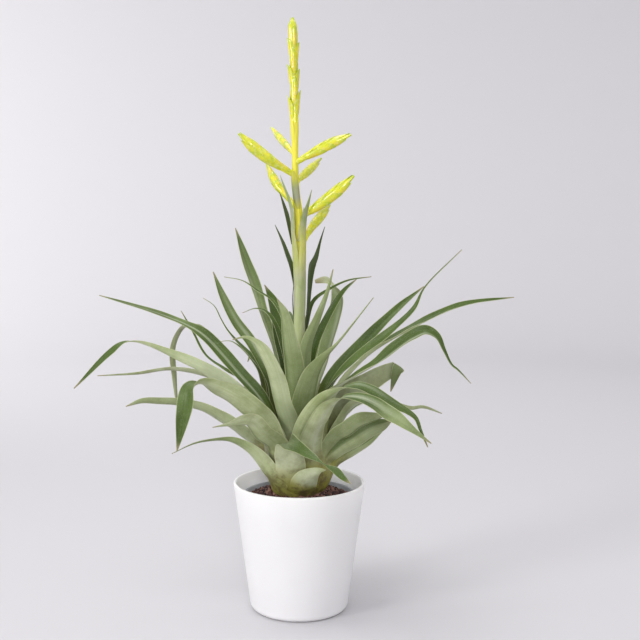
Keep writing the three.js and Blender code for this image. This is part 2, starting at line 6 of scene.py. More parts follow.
import bpy
import numpy as np
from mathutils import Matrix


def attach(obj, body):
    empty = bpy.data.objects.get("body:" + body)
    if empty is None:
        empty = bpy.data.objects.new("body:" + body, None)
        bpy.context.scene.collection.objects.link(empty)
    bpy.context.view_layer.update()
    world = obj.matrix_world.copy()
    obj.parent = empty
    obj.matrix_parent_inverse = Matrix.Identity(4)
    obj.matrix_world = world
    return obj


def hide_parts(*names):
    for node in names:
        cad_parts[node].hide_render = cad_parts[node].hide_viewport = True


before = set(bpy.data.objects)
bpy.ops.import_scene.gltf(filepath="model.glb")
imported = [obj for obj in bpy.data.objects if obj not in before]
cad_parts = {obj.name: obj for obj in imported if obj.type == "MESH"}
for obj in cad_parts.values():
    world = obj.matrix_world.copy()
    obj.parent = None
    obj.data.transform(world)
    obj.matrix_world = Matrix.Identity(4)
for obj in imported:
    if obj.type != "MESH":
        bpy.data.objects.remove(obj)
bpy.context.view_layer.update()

MM = 0.001
RIGHT = np.array([1.0, 0.0, 0.0])
UP = np.array([0.0, 0.0, 1.0])
TO_VIEWER = np.array([0.0, -1.0, 0.0])
random = np.random.default_rng(7)

# Pots, bark mix, sheaths, blades and bracts
POT = dict(height=128, rim=67.5, base=50.5, wall=3.2, floor=6, corner=6, base_ring=8, floor_ring=10,
           sides=160)
LINER = dict(foot=6.3, height=109, rim=58, base=42, wall=1.2, lip=1.6, lip_depth=4, bead=0.8,
             bevel=1, fillet=0.6, edge=0.3, sides=128)
DRAIN = dict(holes=6, radius=4, circle=25, past=1, sides=32)

# Outline of the bark mix, from below round to the hollow for the stem: radius and height.
SOIL_BOTTOM = [[0, 8], [40, 8]]
MOUND = [[23.4, 117.6], [32.5, 116.2], [44.4, 112.9], [54.2, 109.4]]
STEM_HOLLOW = [[20.3, 112], [7.4, 111.8], [7.4, 59.7], [0, 59.7]]
GRANULES = dict(count=2600, inner=24.2, outer=53.2, lift=(-0.2, 1.5), size=(0.6, 2.6),
                squash=(0.45, 1.15), dent=(0.75, 1.2))

# Sheaths are nested cones that stand on the stem's plate.
SHEATH = dict(foot_z=113.6, first=5.9, pitch=1.1, mouth_z=150, mouth_first=8, mouth_pitch=3.2,
              flare=1.25, top=170, top_step=3, below_path=11, lead=12, clearance=4)
BLADE = dict(thickness=0.64, wrap=40, channel=40, tip=0.55, taper=2.2, gap=0.3, steps=8, crease=0.6,
             ripple=0.07, wave=(34, 52), olive=172)
SPIKE = dict(stalk=3.4, belly=5.3, tip=0.9, sides=20, side_bracts=7)
BRACT = dict(rows=14, columns=13, clear=0.15, sunk=0.9, keel=0.5)

# Leaves from the heart outwards. Each path is the free part of the midrib, from the mouth of the
# rosette to the tip, and a list beside it is read along the path. Angles are in degrees.
# wide is the blade's width, wrap half the sheath's arc and channel half the blade's arc. turn
# twists the blade about its midrib. roll gives the way that the inner face looks, from straight at
# the viewer, and slant the angle from level at which a folded blade's width lies.
# tone is the share of dark green, pale that of the outer face's colour on the inner face, where it
# paints a highlight, and grey that of a grey bloom. olive is the height under which the foot is
# olive. A pale stripe is a painted highlight and a dark stripe a painted shade that adds to tone:
# middle and reach across the blade, counted from -1 to 1, then strength, and for the pale stripe
# the share of the length at which it ends.
LEAVES = [
    dict(name="heart_right", width=13, turn=35, wide=[11, 10, 8.5, 6, 1], tone=0.85,
         path=[(11, 7, 236), (17, 9, 268), (31, 18, 297), (46, 24, 321), (61, 32, 334)]),
    dict(name="heart_crossing", width=7, wrap=14, wide=[6, 5.5, 4.5, 3, 2, 0.7],
         path=[(4, 14, 262), (8, 13, 290), (15, 9, 313), (30, 2, 325), (50, -4, 335),
               (74, -8, 339)]),
    dict(name="heart_left_curled", width=7, wrap=14, wide=[8, 7, 5, 2.5, 0.8], tone=0.7,
         path=[(-14, 16, 246), (-24, 26, 282), (-35, 34, 299), (-47, 40, 302), (-61, 46, 297)]),
    dict(name="heart_left_thread", width=7, wrap=14, wide=[5, 4, 3.2, 2.4, 1.5, 0.7],
         path=[(-10, 22, 240), (-14, 29, 281), (-28, 38, 310), (-45, 45, 321), (-61, 52, 331),
               (-82, 60, 335)]),
    dict(name="front_right_upright", width=16, wide=[16, 13, 9, 4.5, 1],
         tone=[0.7, 0.6, 0.5, 0.4, 0.3],
         path=[(4, -18, 225), (8, -32, 272), (18, -42, 299), (27, -52, 324), (33, -60, 349)]),
    dict(name="back_left_broad", width=24, wide=[20, 17, 16, 1], tone=0.95,
         path=[(-10, 20, 220), (-22, 40, 276), (-28, 56, 305), (-38, 66, 326)]),
    dict(name="back_right_curled", width=17, wide=[17, 17, 17, 16, 14, 12, 4],
         roll=[-36, -37, -30, -25, -60, -140, -170], tone=[0.5, 0.55, 0.65, 0.6, 0.2, 0, 0],
         pale=[0.8, 0.7, 0.5, 0.4, 0.6, 0.8, 0.8], grey=[0, 0, 0, 0, 0.4, 0.8, 0.8],
         painted_highlight=(-0.5, 0.5, 0.5, 0.95),
         path=[(14, 20, 214), (27, 30, 254), (37, 38, 290), (42, 42, 313), (39, 44, 325),
               (31, 44, 333), (17, 42, 331)]),
    dict(name="front_upright", width=30, channel=28, wide=[24, 22, 18, 8, 1],
         tone=[0.75, 0.6, 0.45, 0.3, 0.3], painted_shade=(-0.9, 0.35, 0.5),
         path=[(-4, -19, 195), (-4, -36, 238), (-9, -55, 277), (-15, -72, 309), (-21, -80, 322)]),
    dict(name="left_tall", width=18, turn=-15, wide=[12, 9, 10, 13, 13, 1], tone=0.05,
         pale=[0.5, 0.5, 0.35, 0.25, 0.2, 0.1], painted_highlight=(0.6, 0.5, 0.35, 0.95),
         painted_shade=(-0.6, 0.5, 0.5),
         path=[(-15, 25, 215), (-25, 41, 260), (-38, 56, 294), (-47, 66, 322), (-58, 74, 350),
               (-71, 82, 388)]),
    dict(name="left_upright", width=15, turn=-40, wide=[14, 13, 12, 9, 1], tone=0.25, pale=0.15,
         painted_highlight=(-0.2, 0.45, 0.35, 0.95), painted_shade=(0.9, 0.4, 0.7),
         path=[(-28, 24, 222), (-49, 32, 264), (-68, 38, 289), (-82, 44, 315), (-93, 50, 341)]),
    dict(name="right_upright", width=20, wide=[20, 16, 12.5, 8.5, 1],
         roll=[-52, -30, -25, -25, -25], tone=0.45, painted_shade=(-0.9, 0.5, 0.7),
         path=[(30, 11, 222), (56, 22, 255), (80, 32, 279), (108, 44, 304), (135, 52, 325)]),
    dict(name="front_right_thread", width=28, channel=28, wide=[25, 21, 9, 2.6, 1.8, 0.8],
         tone=[0.6, 0.5, 0.4, 0.45, 0.5, 0.5], painted_shade=(1.0, 0.3, 0.6),
         path=[(3, -28, 203), (10, -46, 239), (22, -62, 262), (36, -74, 278), (54, -84, 302),
               (70, -92, 324)]),
    dict(name="back_upright", width=20,
         path=[(-2, 34, 220), (-4, 62, 262), (-10, 92, 285), (-14, 125, 290), (-14, 158, 278)]),
    dict(name="left_high_long", width=20, wide=[18, 16, 15, 8, 6.5, 1],
         roll=[60, 30, 28, 48, 35, 35], tone=[0.3, 0.3, 0.2, 0.0, 0.0, 0.0],
         pale=[0, 0, 0, 0.1, 0.15, 0.15], painted_highlight=(0.1, 0.3, 0.4, 0.95), painted_shade=(0.9, 0.3, 0.8),
         path=[(-34, -3, 203), (-63, 5, 239), (-99, 16, 276), (-117, 22, 286), (-153, 32, 299),
               (-215, 44, 316)]),
    dict(name="right_hair_tip", width=18, wide=[16, 14, 10, 5.5, 1.8, 0.8],
         roll=[-100, -60, -45, -45, -45, -45], tone=0.4, painted_shade=(-0.9, 0.6, 0.9),
         path=[(26, -20, 218), (58, -27, 258), (89, -34, 284), (114, -40, 309), (124, -44, 330),
               (160, -50, 368)]),
    dict(name="right_long", width=18, channel=60, wide=[18, 16, 14, 9, 1],
         roll=[-112, -105, -80, -50, -40], tone=0.3,
         path=[(33, -4, 206), (65, 0, 251), (110, 8, 280), (169, 18, 307), (228, 30, 315)]),
    dict(name="front_left_broad", width=25, channel=26, wide=[22, 20, 18, 15, 12, 6, 3, 0.8],
         roll=[160, 160, 160, 160, 160, 160, 155, 150], tone=[0.45, 0.3, 0.1, 0, 0, 0, 0.1, 0.2],
         painted_highlight=(0.2, 1.6, 0.25, 0.95), painted_shade=(-1.0, 0.3, 0.5),
         path=[(-9, -26, 184), (-16, -46, 214), (-21, -66, 240), (-27, -82, 260), (-34, -94, 275),
               (-40, -100, 283), (-50, -104, 288), (-62, -107, 286)]),
    dict(name="back_left_thread", width=9, wrap=18, turn=-20, wide=[8, 6, 3, 2, 1.5, 1.2, 0.7],
         path=[(-35, 28, 230), (-51, 40, 251), (-70, 54, 268), (-79, 60, 278), (-86, 66, 289),
               (-94, 75, 302), (-107, 84, 310)]),
    dict(name="back_right_arching", width=22,
         path=[(14, 38, 215), (22, 68, 250), (28, 105, 268), (34, 140, 268), (40, 172, 250)]),
    dict(name="right_drooping", width=19, channel=40, wide=[20, 18, 15, 12, 9, 6, 3.5, 3.5, 0.8],
         roll=[-120, -75, -50, -40, -40, -45, -60, -60, -60],
         tone=[0.4, 0.4, 0.4, 0.4, 0.5, 0.7, 0.9, 0.9, 0.9], pale=0, painted_highlight=(-0.6, 0.3, 0.6, 0.95),
         path=[(27, -28, 214), (76, -50, 256), (109, -64, 284), (122, -70, 290), (132, -74, 285),
               (138, -78, 273), (145, -81, 259), (151, -83, 254), (163, -86, 242)]),
    dict(name="left_long", width=22, channel=30, wide=[24, 20, 15.5, 9, 7, 8, 1],
         roll=[150, 160, 165, 158, 95, 15, 10], tone=[0.1, 0.0, 0.0, 0.0, 0.3, 0.8, 0.9],
         grey=[0.3, 0.2, 0.1, 0, 0, 0, 0], painted_highlight=(0, 2.5, 0.6, 0.75), painted_shade=(-1.0, 0.25, 0.6),
         path=[(-27, -22, 182), (-42, -30, 205), (-83, -42, 243), (-127, -50, 266),
               (-167, -56, 278), (-184, -60, 268), (-218, -66, 234)]),
    dict(name="left_slim", width=12, wrap=18, turn=45, wide=[13, 12, 9.5, 5.5, 4.3, 1], tone=0.3,
         grey=0.65,
         path=[(-39, 10, 204), (-73, 26, 221), (-106, 40, 232), (-140, 54, 235), (-180, 68, 228),
               (-224, 80, 224)]),
    dict(name="right_folded", width=24, channel=14, wide=[24, 22, 17, 14, 13, 13, 1],
         slant=[130, 128, 122, 128, 146, 158, 165], tone=[0.2, 0.15, 0.15, 0.2, 0.7, 0.95, 0.95],
         pale=[0.5, 0.5, 0.5, 0.4, 0.1, 0, 0], grey=[0.5, 0.5, 0.5, 0.5, 0.4, 0.4, 0.4],
         path=[(37, 14, 203), (75, 28, 226), (94, 36, 235), (104, 38, 239), (107, 34, 241),
               (104, 31, 237), (97, 29, 215)]),
    dict(name="front_right_arching", width=22,
         wide=[24, 20, 16, 12, 11, 13, 14, 12.5, 10, 7, 5, 4, 1],
         roll=[-173, -166, -155, -135, -95, -55, -45, -40, -40, -35, -30, -25, -25],
         tone=[0.35, 0.1, 0, 0, 0.1, 0.45, 0.4, 0.4, 0.4, 0.5, 0.5, 0.5, 0.5],
         grey=[0.2, 0.2, 0.1, 0, 0, 0, 0, 0, 0, 0, 0, 0, 0], olive=178, painted_highlight=(0.5, 0.4, 0.2, 0.95),
         path=[(3, -38, 178), (12, -52, 206), (23, -58, 221), (35, -64, 230), (45, -69, 235),
               (57, -74, 237), (69, -78, 233), (80, -84, 227), (92, -90, 221), (101, -94, 217),
               (109, -97, 211), (113, -100, 201), (120, -102, 185)]),
    dict(name="back_left_arching", width=22,
         path=[(-18, 40, 206), (-32, 78, 240), (-44, 115, 250), (-54, 150, 244), (-62, 178, 226)]),
    dict(name="right_low_thread", width=12, wrap=18, turn=-30, wide=[17, 15, 10, 6, 5, 4, 0.9],
         grey=0.3,
         path=[(33, -6, 168), (44, 2, 190), (56, 12, 204), (80, 27, 208), (119, 42, 195),
               (135, 54, 194), (157, 70, 184)]),
    dict(name="left_folded", width=22, channel=28, wide=[26, 26, 23, 20, 21, 18, 1],
         roll=[152, 165, 150, 112, 45, 5, 0], tone=[0.2, 0.1, 0.05, 0.05, 0.3, 0.35, 0.35],
         grey=[0.4, 0.3, 0.2, 0.2, 0, 0, 0], painted_shade=(-1.0, 0.25, 0.7),
         path=[(-28, -28, 180), (-44, -38, 206), (-77, -50, 230), (-97, -56, 237),
               (-107, -58, 231), (-112, -60, 210), (-119, -60, 172)]),
    dict(name="back_left_curled", width=9, wrap=18, wide=[6, 4, 3, 1.6, 0.8],
         path=[(-42, 40, 232), (-55, 52, 250), (-66, 62, 259), (-76, 68, 264), (-87, 72, 263)]),
    dict(name="front_right_pale", width=24,
         wide=[26, 22, 18, 13, 9, 10, 12.5, 15.5, 16.5, 14, 10, 5, 1],
         roll=[-160, -155, -145, -120, -75, -50, -45, -35, -30, -30, -30, -30, -30],
         tone=[0.3, 0.1, 0, 0.1, 0.4, 0.55, 0.5, 0.3, 0.05, 0, 0, 0, 0],
         pale=[0, 0, 0, 0, 0, 0, 0, 0.1, 0.3, 0.4, 0.4, 0.3, 0.2],
         grey=[0.4, 0.4, 0.3, 0.2, 0, 0, 0, 0, 0, 0, 0, 0, 0], olive=178,
         painted_highlight=(0.2, 0.6, 0.4, 0.95), painted_shade=(-1.0, 0.18, 0.8),
         path=[(12, -38, 172), (19, -58, 199), (28, -70, 216), (37, -80, 225), (44, -87, 229),
               (52, -93, 230), (61, -99, 229), (71, -104, 225), (80, -109, 219), (90, -114, 214),
               (99, -119, 208), (108, -123, 202), (120, -127, 194)]),
    dict(name="left_thread", width=9, wrap=18, turn=-20, wide=[8, 4, 3, 3.2, 0.8],
         path=[(-52, 33, 220), (-78, 40, 236), (-101, 50, 251), (-117, 60, 277), (-130, 70, 297)]),
    dict(name="back_low", width=22,
         path=[(8, 48, 178), (16, 92, 205), (24, 135, 205), (32, 172, 185)]),
    dict(name="front_left_curled", width=28, channel=28, wide=[24, 21, 18, 15, 8, 1],
         roll=[158, 165, 165, 150, 130, 120], tone=[0.3, 0.1, 0.0, 0.0, 0.05, 0.1], grey=0.3,
         painted_shade=(-0.95, 0.3, 0.9),
         path=[(-21, -38, 170), (-36, -56, 188.5), (-45, -72, 202.5), (-54, -83, 206),
               (-66, -92, 204), (-81, -99, 203)]),
    dict(name="right_low_broad", width=21, wide=[18, 17, 18, 17, 12, 1],
         roll=[-150, -165, -172, -172, -172, -172], tone=0.5, grey=0.35, painted_shade=(0.95, 0.25, 0.9),
         path=[(27, -24, 160), (37, -32, 180), (47, -37, 188), (59, -41, 197.5), (71, -44, 201.5),
               (88, -47, 205)]),
    dict(name="back_left_drooping", width=10, wrap=18, wide=[10, 9, 8, 7.5, 7.5, 6.5, 1],
         roll=[43, 60, 90, 130, 155, 160, 160], tone=0.25, grey=0.7,
         path=[(-64, 54, 233), (-94, 76, 262), (-114, 90, 279), (-130, 99, 276), (-143, 108, 253),
               (-142, 112, 215), (-139, 116, 179)]),
    dict(name="back_right_low", width=22,
         path=[(30, 36, 170), (62, 72, 192), (92, 106, 190), (118, 134, 172)]),
    dict(name="left_low", width=18, wide=[27, 26, 21, 16, 11, 10, 8, 1],
         roll=[115, 130, 140, 145, 150, 155, 155, 155], tone=0.5, grey=0.45, olive=186,
         path=[(-34, 0, 154), (-50, 4, 168), (-69, 9, 182), (-92, 18, 194.5), (-115, 24, 202),
               (-142, 29, 204), (-166, 33, 204), (-185, 36, 198)]),
    dict(name="right_low", width=22, wide=[17, 17, 20, 19, 15, 1],
         roll=[-150, -165, -172, -172, -172, -172], tone=[0.3, 0.3, 0.45, 0.6, 0.6, 0.6], pale=0,
         grey=0.2, painted_shade=(-0.6, 0.45, 1.2),
         path=[(25, -21, 150), (38, -24, 163), (55, -26, 175), (72, -27, 186), (84, -27.5, 191),
               (93, -28, 195)]),
    dict(name="back_left_low", width=22,
         path=[(-12, 50, 170), (-28, 88, 196), (-44, 130, 196), (-58, 168, 176)]),
    dict(name="front_folded", width=32, channel=16,
         wide=[31, 30, 28, 20, 12, 9.5, 5, 0.1, 3, 8, 6, 0.8],
         slant=[0, 2, 10, 34, 52, 54, 54, 50, 45, 45, 50, 50],
         tone=[0, 0, 0, 0.2, 0.5, 0.65, 0.75, 1, 1, 1, 1, 1],
         grey=[0.5, 0.5, 0.45, 0.3, 0, 0, 0, 0, 0, 0, 0, 0], olive=164, painted_highlight=(-0.2, 1.8, 0.3, 0.6),
         path=[(-8, -38, 143), (-9, -44, 157), (-11, -51, 169), (-11, -58, 180), (-2, -66, 178),
               (7, -75, 174), (16, -82, 170), (23, -87, 166), (28, -90, 164), (35, -94, 161),
               (41, -98, 156), (48, -102, 151)]),
    dict(name="right_lowest", width=17, wide=[17, 13, 9, 5, 0.8],
         roll=[-150, -165, -170, -170, -170], tone=0.4, painted_highlight=(0.95, 0.4, 0.6, 0.95),
         painted_shade=(-0.6, 0.5, 1.0),
         path=[(39, -8, 149), (55, -6, 159.5), (71, -5, 168.5), (82, -4, 178), (92, -6, 188.5)]),
    dict(name="front_short", width=30, channel=30, wide=[29, 27, 16, 6, 0.8],
         slant=[0, -10, -32, -62, -85], tone=[0, 0, 0, 0.1, 0.2], grey=[0.5, 0.5, 0.5, 0.4, 0.3],
         olive=160, painted_highlight=(0.2, 1.6, 0.45, 0.98),
         path=[(3, -36, 128), (6, -42, 137), (12, -49, 146), (19, -56, 152), (26, -62, 154)]),
    dict(name="left_lowest", width=24, wide=[21, 17, 12.5, 7.5, 4.5, 3.5, 1],
         roll=[150, 158, 160, 155, 145, 120, 110], tone=[0.1, 0.15, 0.4, 0.6, 0.75, 0.8, 0.8],
         grey=[0.4, 0.4, 0.3, 0.1, 0.1, 0.1, 0.1], olive=156,
         path=[(-27, -32, 140.5), (-39, -31, 157), (-51, -30, 168.5), (-66.5, -29, 175.4),
               (-81.6, -29, 176.5), (-105, -32, 173), (-127, -36, 164)]),
]

# Flower stalk: centres and radii from the stem's tip to the foot of the end spike.
STALK = [((0, 0, 119.9), 4.4), ((0, 0, 200), 4.7), ((0, 0, 268), 5.0), ((0.4, 0, 318), 5.2),
         ((0.6, 0, 352), 5.2), ((-0.5, 0, 398), 4.6), ((-3.6, 0, 430), 3.7),
         ((-4.3, 0, 462), 3.2), ((-4.7, 0, 498), 3.85)]

# Sleeves that clasp the stalk: heights of foot and tip, heading in degrees, and how far the tip
# stands off.
SLEEVES = [(190, 305, 60, 0.6), (205, 292, -60, 0.5), (262, 330, -118, 0.6), (268, 345, 20, 0.8),
           (300, 372, 100, 1.0)]

# Leafy bracts on the stalk: heading of the outer face and half arc of the section at foot and tip
# in degrees, then the midrib with a width and a leafy share along it. dark is the share of
# near-black green, full on the inner face and half on the outer one.
STALK_BRACTS = [
    dict(heading=62, arc=(40, 30), dark=1.0, leafy=[1],
         wide=[2.5, 3.5, 4.2, 5.2, 7.2, 8.6, 6.2, 4, 2.4, 0.6],
         path=[(6, 3, 270), (8, 4, 289), (9.6, 5, 306), (10.9, 6, 323), (12.5, 8, 340),
               (14.3, 9, 350), (17.6, 11, 358), (19.9, 12, 366), (22.5, 13, 376), (26.8, 14, 390)]),
    dict(heading=128, arc=(40, 30), dark=1.0, leafy=[1], wide=[4, 6, 6.5, 6.5, 6, 4.6, 0.6],
         path=[(-3, 3, 312), (-5, 4, 332), (-8.2, 6, 348), (-10.4, 8, 355), (-12.6, 10, 361),
               (-17, 13, 373), (-25.5, 20, 392)]),
    # A narrow dark strip down the left of the stalk: partly a dark sheath margin, partly painted
    # shadow along a bract's edge.
    dict(heading=165, arc=(30, 20), dark=1.0, leafy=[1], wide=[1, 3, 2.6, 1],
         path=[(-5.4, -1, 292), (-6.6, -1, 306), (-6.8, -1, 318), (-5.6, -1, 332)]),
    dict(heading=130, arc=(50, 30), dark=1.0, leafy=[1], wide=[5, 6, 6, 4, 0.6],
         path=[(-7, 3, 372), (-10.9, 4, 391), (-13.4, 6, 403), (-16.3, 8, 413), (-20.5, 10, 426)]),
    dict(heading=-152, arc=(66, 34), dark=0.1, leafy=[0.2, 0.4, 0.7, 0.9, 1, 1, 1, 1],
         wide=[13, 13.5, 11, 8, 7.5, 6.5, 4, 0.6],
         path=[(-4.4, -2.8, 322), (-5.4, -3.4, 346), (-6.6, -4.2, 370), (-7.8, -4.8, 386),
               (-8.4, -5.4, 405), (-11.2, -5.4, 418), (-15.7, -5.0, 431), (-19.6, -4, 443)]),
    dict(heading=-40, arc=(68, 36), dark=0.1, leafy=[0.2, 0.3, 0.5, 0.8, 1, 1, 1, 1, 1],
         wide=[13.5, 14, 12, 11, 10.5, 9, 6, 3.4, 0.6],
         path=[(4.6, -3.8, 322), (5.4, -4.4, 350), (5.8, -5.2, 372), (5.8, -6.0, 388),
               (6.3, -6.8, 398), (7.2, -7.4, 404), (9, -7.8, 411), (10.6, -8, 418),
               (12.9, -7.8, 428)]),
    dict(heading=-70, arc=(50, 30), dark=0.2, leafy=[0.6], wide=[8, 6, 2.6, 0.5],
         path=[(1.5, -4.8, 375), (2.6, -5.2, 390), (4, -5.4, 400), (4.6, -5.4, 410)]),
    dict(heading=-115, arc=(75, 50), dark=0.55, leafy=[0.1, 1, 0.9, 0.2, 0], wide=[8, 10, 10, 8, 4],
         path=[(-2.4, -3.9, 408), (-3.8, -4.7, 420), (-4.8, -5.2, 430), (-5.8, -6.4, 440),
               (-6.8, -7.6, 447)]),
    dict(heading=-35, arc=(60, 40), dark=0.0, leafy=[0], wide=[4, 7, 6, 3.5, 0.6],
         path=[(-2.3, -2, 472), (-1.6, -2.3, 482), (-1.2, -2.4, 490), (-1.2, -2.4, 496),
               (-0.9, -2.4, 503)]),
    dict(heading=-150, arc=(70, 50), dark=0.0, leafy=[0], wide=[4, 8, 8, 5, 0.8],
         path=[(-6.6, -1.8, 472), (-7.8, -2.2, 482), (-8.4, -2.4, 492), (-8.8, -2.4, 499),
               (-9.6, -2.4, 507)]),
]

# Side spikes, lowest first: name, share of the full girth, and the way from the middle of the stalk
# to the tip.
SIDE_SPIKES = [
    ("back_right_low", 0.80, [(0.5, 0, 366), (13, 14, 389), (22, 23, 400), (33, 34, 413)]),
    ("right_low", 1.06, [(-0.5, 0, 399), (16, -1, 409), (37, -10, 425), (56, -14, 442)]),
    ("back_left", 0.88, [(-1.5, 0, 408), (-19, 17, 428), (-25, 23, 437), (-35, 34, 457)]),
    ("back_right_high", 0.72, [(-3.6, 0, 434), (3, 10, 442), (11, 22, 450), (24, 42, 463)]),
    ("left", 1.04, [(-4, 0, 443), (-25, -8, 455), (-44, -11, 469), (-62, -14, 485)]),
    ("right_high", 0.98, [(-4, 0, 456), (13, -5, 465), (32, -8, 475), (53, -12, 484)]),
    ("back_left_high", 0.70, [(-4.2, 0, 463), (-11, 11, 472), (-19, 26, 482), (-30, 44, 496)]),
]
END_SPIKE = [(-4.7, 0, 496.8), (-5.2, 0, 532), (-5.8, 0, 566), (-6.4, 0, 588), (-6.9, 0, 606)]

# Bracts of the end spike: heights of foot and tip, heading in degrees, half arc in radians, and how
# far the tip stands off.
END_BRACTS = [
    (499, 526, 178, 1.5, 3.0), (503, 531, -6, 1.4, 2.6), (508, 538, 95, 1.4, 1.0),
    (513, 545, -80, 1.1, 1.0), (529, 553, -12, 1.4, 1.8), (534, 558, -172, 1.4, 2.9),
    (540, 568, 85, 1.4, 1.0), (545, 574, -100, 1.1, 1.0), (558, 580, -14, 1.5, 1.8),
    (564, 585, -166, 1.5, 1.5), (570, 594, 90, 1.5, 0.6), (572, 597, -70, 1.2, 0.5),
    (578, 602, -140, 1.4, 0.2),
]


# Curves and sections

def lerp(low, high, share):
    return low + (high - low) * share


def smoothstep(value, low, high):
    """0 at low and 1 at high, with level ends: 3 times the share squared less twice its cube."""
    share = np.clip((value - low) / (high - low), 0, 1)
    return share * share * (3 - 2 * share)


def unit(vectors):
    return vectors / np.linalg.norm(vectors, axis=-1, keepdims=True)


def dot(first, second):
    """Dot product of each pair of rows."""
    return np.sum(first * second, axis=1)


def smooth_path(points):
    """Smooth curve through the points, as a function of places counted in spans.

    On each span it is a cubic. Its end tangents weigh the neighbouring chords by the square roots
    of their lengths. One mirrored point is added before the first and after the last.
    """
    points = np.asarray(points, float)
    ends = np.vstack([2 * points[0] - points[1], points, 2 * points[-1] - points[-2]])
    chord = np.sqrt(np.linalg.norm(np.diff(ends, axis=0), axis=1))

    def at(places):
        places = np.clip(places, 0, len(points) - 1)
        span = np.minimum(places.astype(int), len(points) - 2)
        share = (places - span)[:, None]
        p0, p1, p2, p3 = (ends[span + k] for k in range(4))
        d0, d1, d2 = (chord[span + k][:, None] for k in range(3))
        leave = ((p1 - p0) / d0 - (p2 - p0) / (d0 + d1) + (p2 - p1) / d1) * d1
        arrive = ((p2 - p1) / d1 - (p3 - p1) / (d1 + d2) + (p3 - p2) / d2) * d1
        cubic = 2 * p1 - 2 * p2 + leave + arrive
        square = -3 * p1 + 3 * p2 - 2 * leave - arrive
        return ((cubic * share + square) * share + leave) * share + p1

    return at


def tangents(centre_at, places):
    nudge = 0.001
    return unit(centre_at(places + nudge) - centre_at(places - nudge))


def carried_across(facing, across):
    """Across direction at each station: the one before it, made square to the facing direction."""
    result = np.empty_like(facing)
    for i, ahead in enumerate(facing):
        across = across - across.dot(ahead) * ahead
        across = across / np.linalg.norm(across)
        result[i] = across
    return result


def turned_about(axis, vectors, angle):
    """Vectors square to the axis, turned: cosine times themselves plus sine times axis x vector."""
    return vectors * np.cos(angle)[:, None] + np.cross(axis, vectors) * np.sin(angle)[:, None]


def round_frames(points, places, across):
    """Centres, across and inward directions for a round section carried along a path."""
    centre_at = smooth_path(points)
    along = tangents(centre_at, places)
    across = carried_across(along, across)
    return centre_at(places), across, np.cross(along, across)


def round_points(frames, radius, angle):
    """Points about each station: radius times cosine across, and radius times sine inwards."""
    centre, across, inward = frames
    return (centre[:, None] + across[:, None] * (radius * np.cos(angle))[..., None]
            + inward[:, None] * (radius * np.sin(angle))[..., None])


def circle(sides):
    return np.arange(sides) * 2 * pi / sides


def arc(centre, radius, start, end, steps):
    """Points of an arc in the plane, from one angle to another in degrees."""
    angle = np.radians(np.linspace(start, end, steps))
    x, y = centre
    return np.stack([x + radius * np.cos(angle), y + radius * np.sin(angle)], -1).tolist()


# Meshes

def tube_faces(rows, columns):
    """Quads of a tube of closed rings, numbered row by row and facing outwards."""
    i, j = np.meshgrid(np.arange(rows - 1), np.arange(columns), indexing="ij")
    k = (j + 1) % columns
    corners = [i * columns + j, i * columns + k, (i + 1) * columns + k, (i + 1) * columns + j]
    return np.stack(corners, -1).reshape(-1, 4).tolist()


def closed_tube(rings, first, last):
    """Points and faces of a tube that closes on a pole at each end."""
    rows, columns = rings.shape[:2]
    points = np.vstack([rings.reshape(-1, 3), first, last])
    j = np.arange(columns)
    k = (j + 1) % columns
    start, end = rows * columns, rows * columns + 1
    below = np.stack([np.full(columns, start), k, j], -1).tolist()
    top = (rows - 1) * columns
    above = np.stack([np.full(columns, end), top + j, top + k], -1).tolist()
    return points, tube_faces(rows, columns) + below + above


def lathe_rings(profile, sides):
    """Rings of a lathe form: each [radius, height] of the profile runs once round the axis."""
    angle = circle(sides)
    radius, height = profile[:, :1], profile[:, 1:]
    ring = np.broadcast_arrays(radius * np.cos(angle), radius * np.sin(angle), height)
    return np.stack(ring, -1)


def turned_shape(profile, sides):
    """Closed lathe form, whose profile starts and ends on the axis with a pole."""
    profile = np.asarray(profile, float)
    return closed_tube(lathe_rings(profile[1:-1], sides), [0, 0, profile[0, 1]],
                       [0, 0, profile[-1, 1]])


def join_parts(parts):
    """One list of points, faces and layers from several parts (points, faces, layers)."""
    points, faces, layers, start = [], [], {}, 0
    for part_points, part_faces, part_layers in parts:
        points.append(part_points)
        faces += [[start + corner for corner in face] for face in part_faces]
        for key, values in part_layers.items():
            layers.setdefault(key, []).append(np.broadcast_to(values, len(part_points)))
        start += len(part_points)
    joined = {key: np.concatenate(values) for key, values in layers.items()}
    return np.vstack(points), faces, joined


def add_object(name, data):
    made = bpy.data.objects.new(name, data)
    bpy.context.collection.objects.link(made)
    return made


def mesh_object(name, points, faces, smooth=True):
    """Object at the origin, from points in millimetres."""
    mesh = bpy.data.meshes.new(name)
    mesh.from_pydata((np.asarray(points) * MM).tolist(), [], faces)
    mesh.polygons.foreach_set("use_smooth", np.full(len(mesh.polygons), smooth))
    return add_object(name, mesh)


def make_piece(name, points, faces, material, node, layers=None, strip=None, crease=50):
    """Piece that stands for a node. Layers are values per point, strip a UV map in centimetres."""
    piece = mesh_object(name, points, faces)
    mesh = piece.data
    for key, values in (layers or {}).items():
        attribute = mesh.attributes.new(key, "FLOAT", "POINT")
        attribute.data.foreach_set("value", np.asarray(values, np.float32))
    if strip is not None:
        corners = np.empty(len(mesh.loops), dtype=np.int32)
        mesh.loops.foreach_get("vertex_index", corners)
        uv_map = mesh.uv_layers.new(name="strip")
        uv_map.data.foreach_set("uv", strip[corners].astype(np.float32).ravel())
    mesh.set_sharp_from_angle(angle=radians(crease))
    mesh.materials.append(material)
    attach(piece, "root")
    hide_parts(node)
    return piece


# Materials

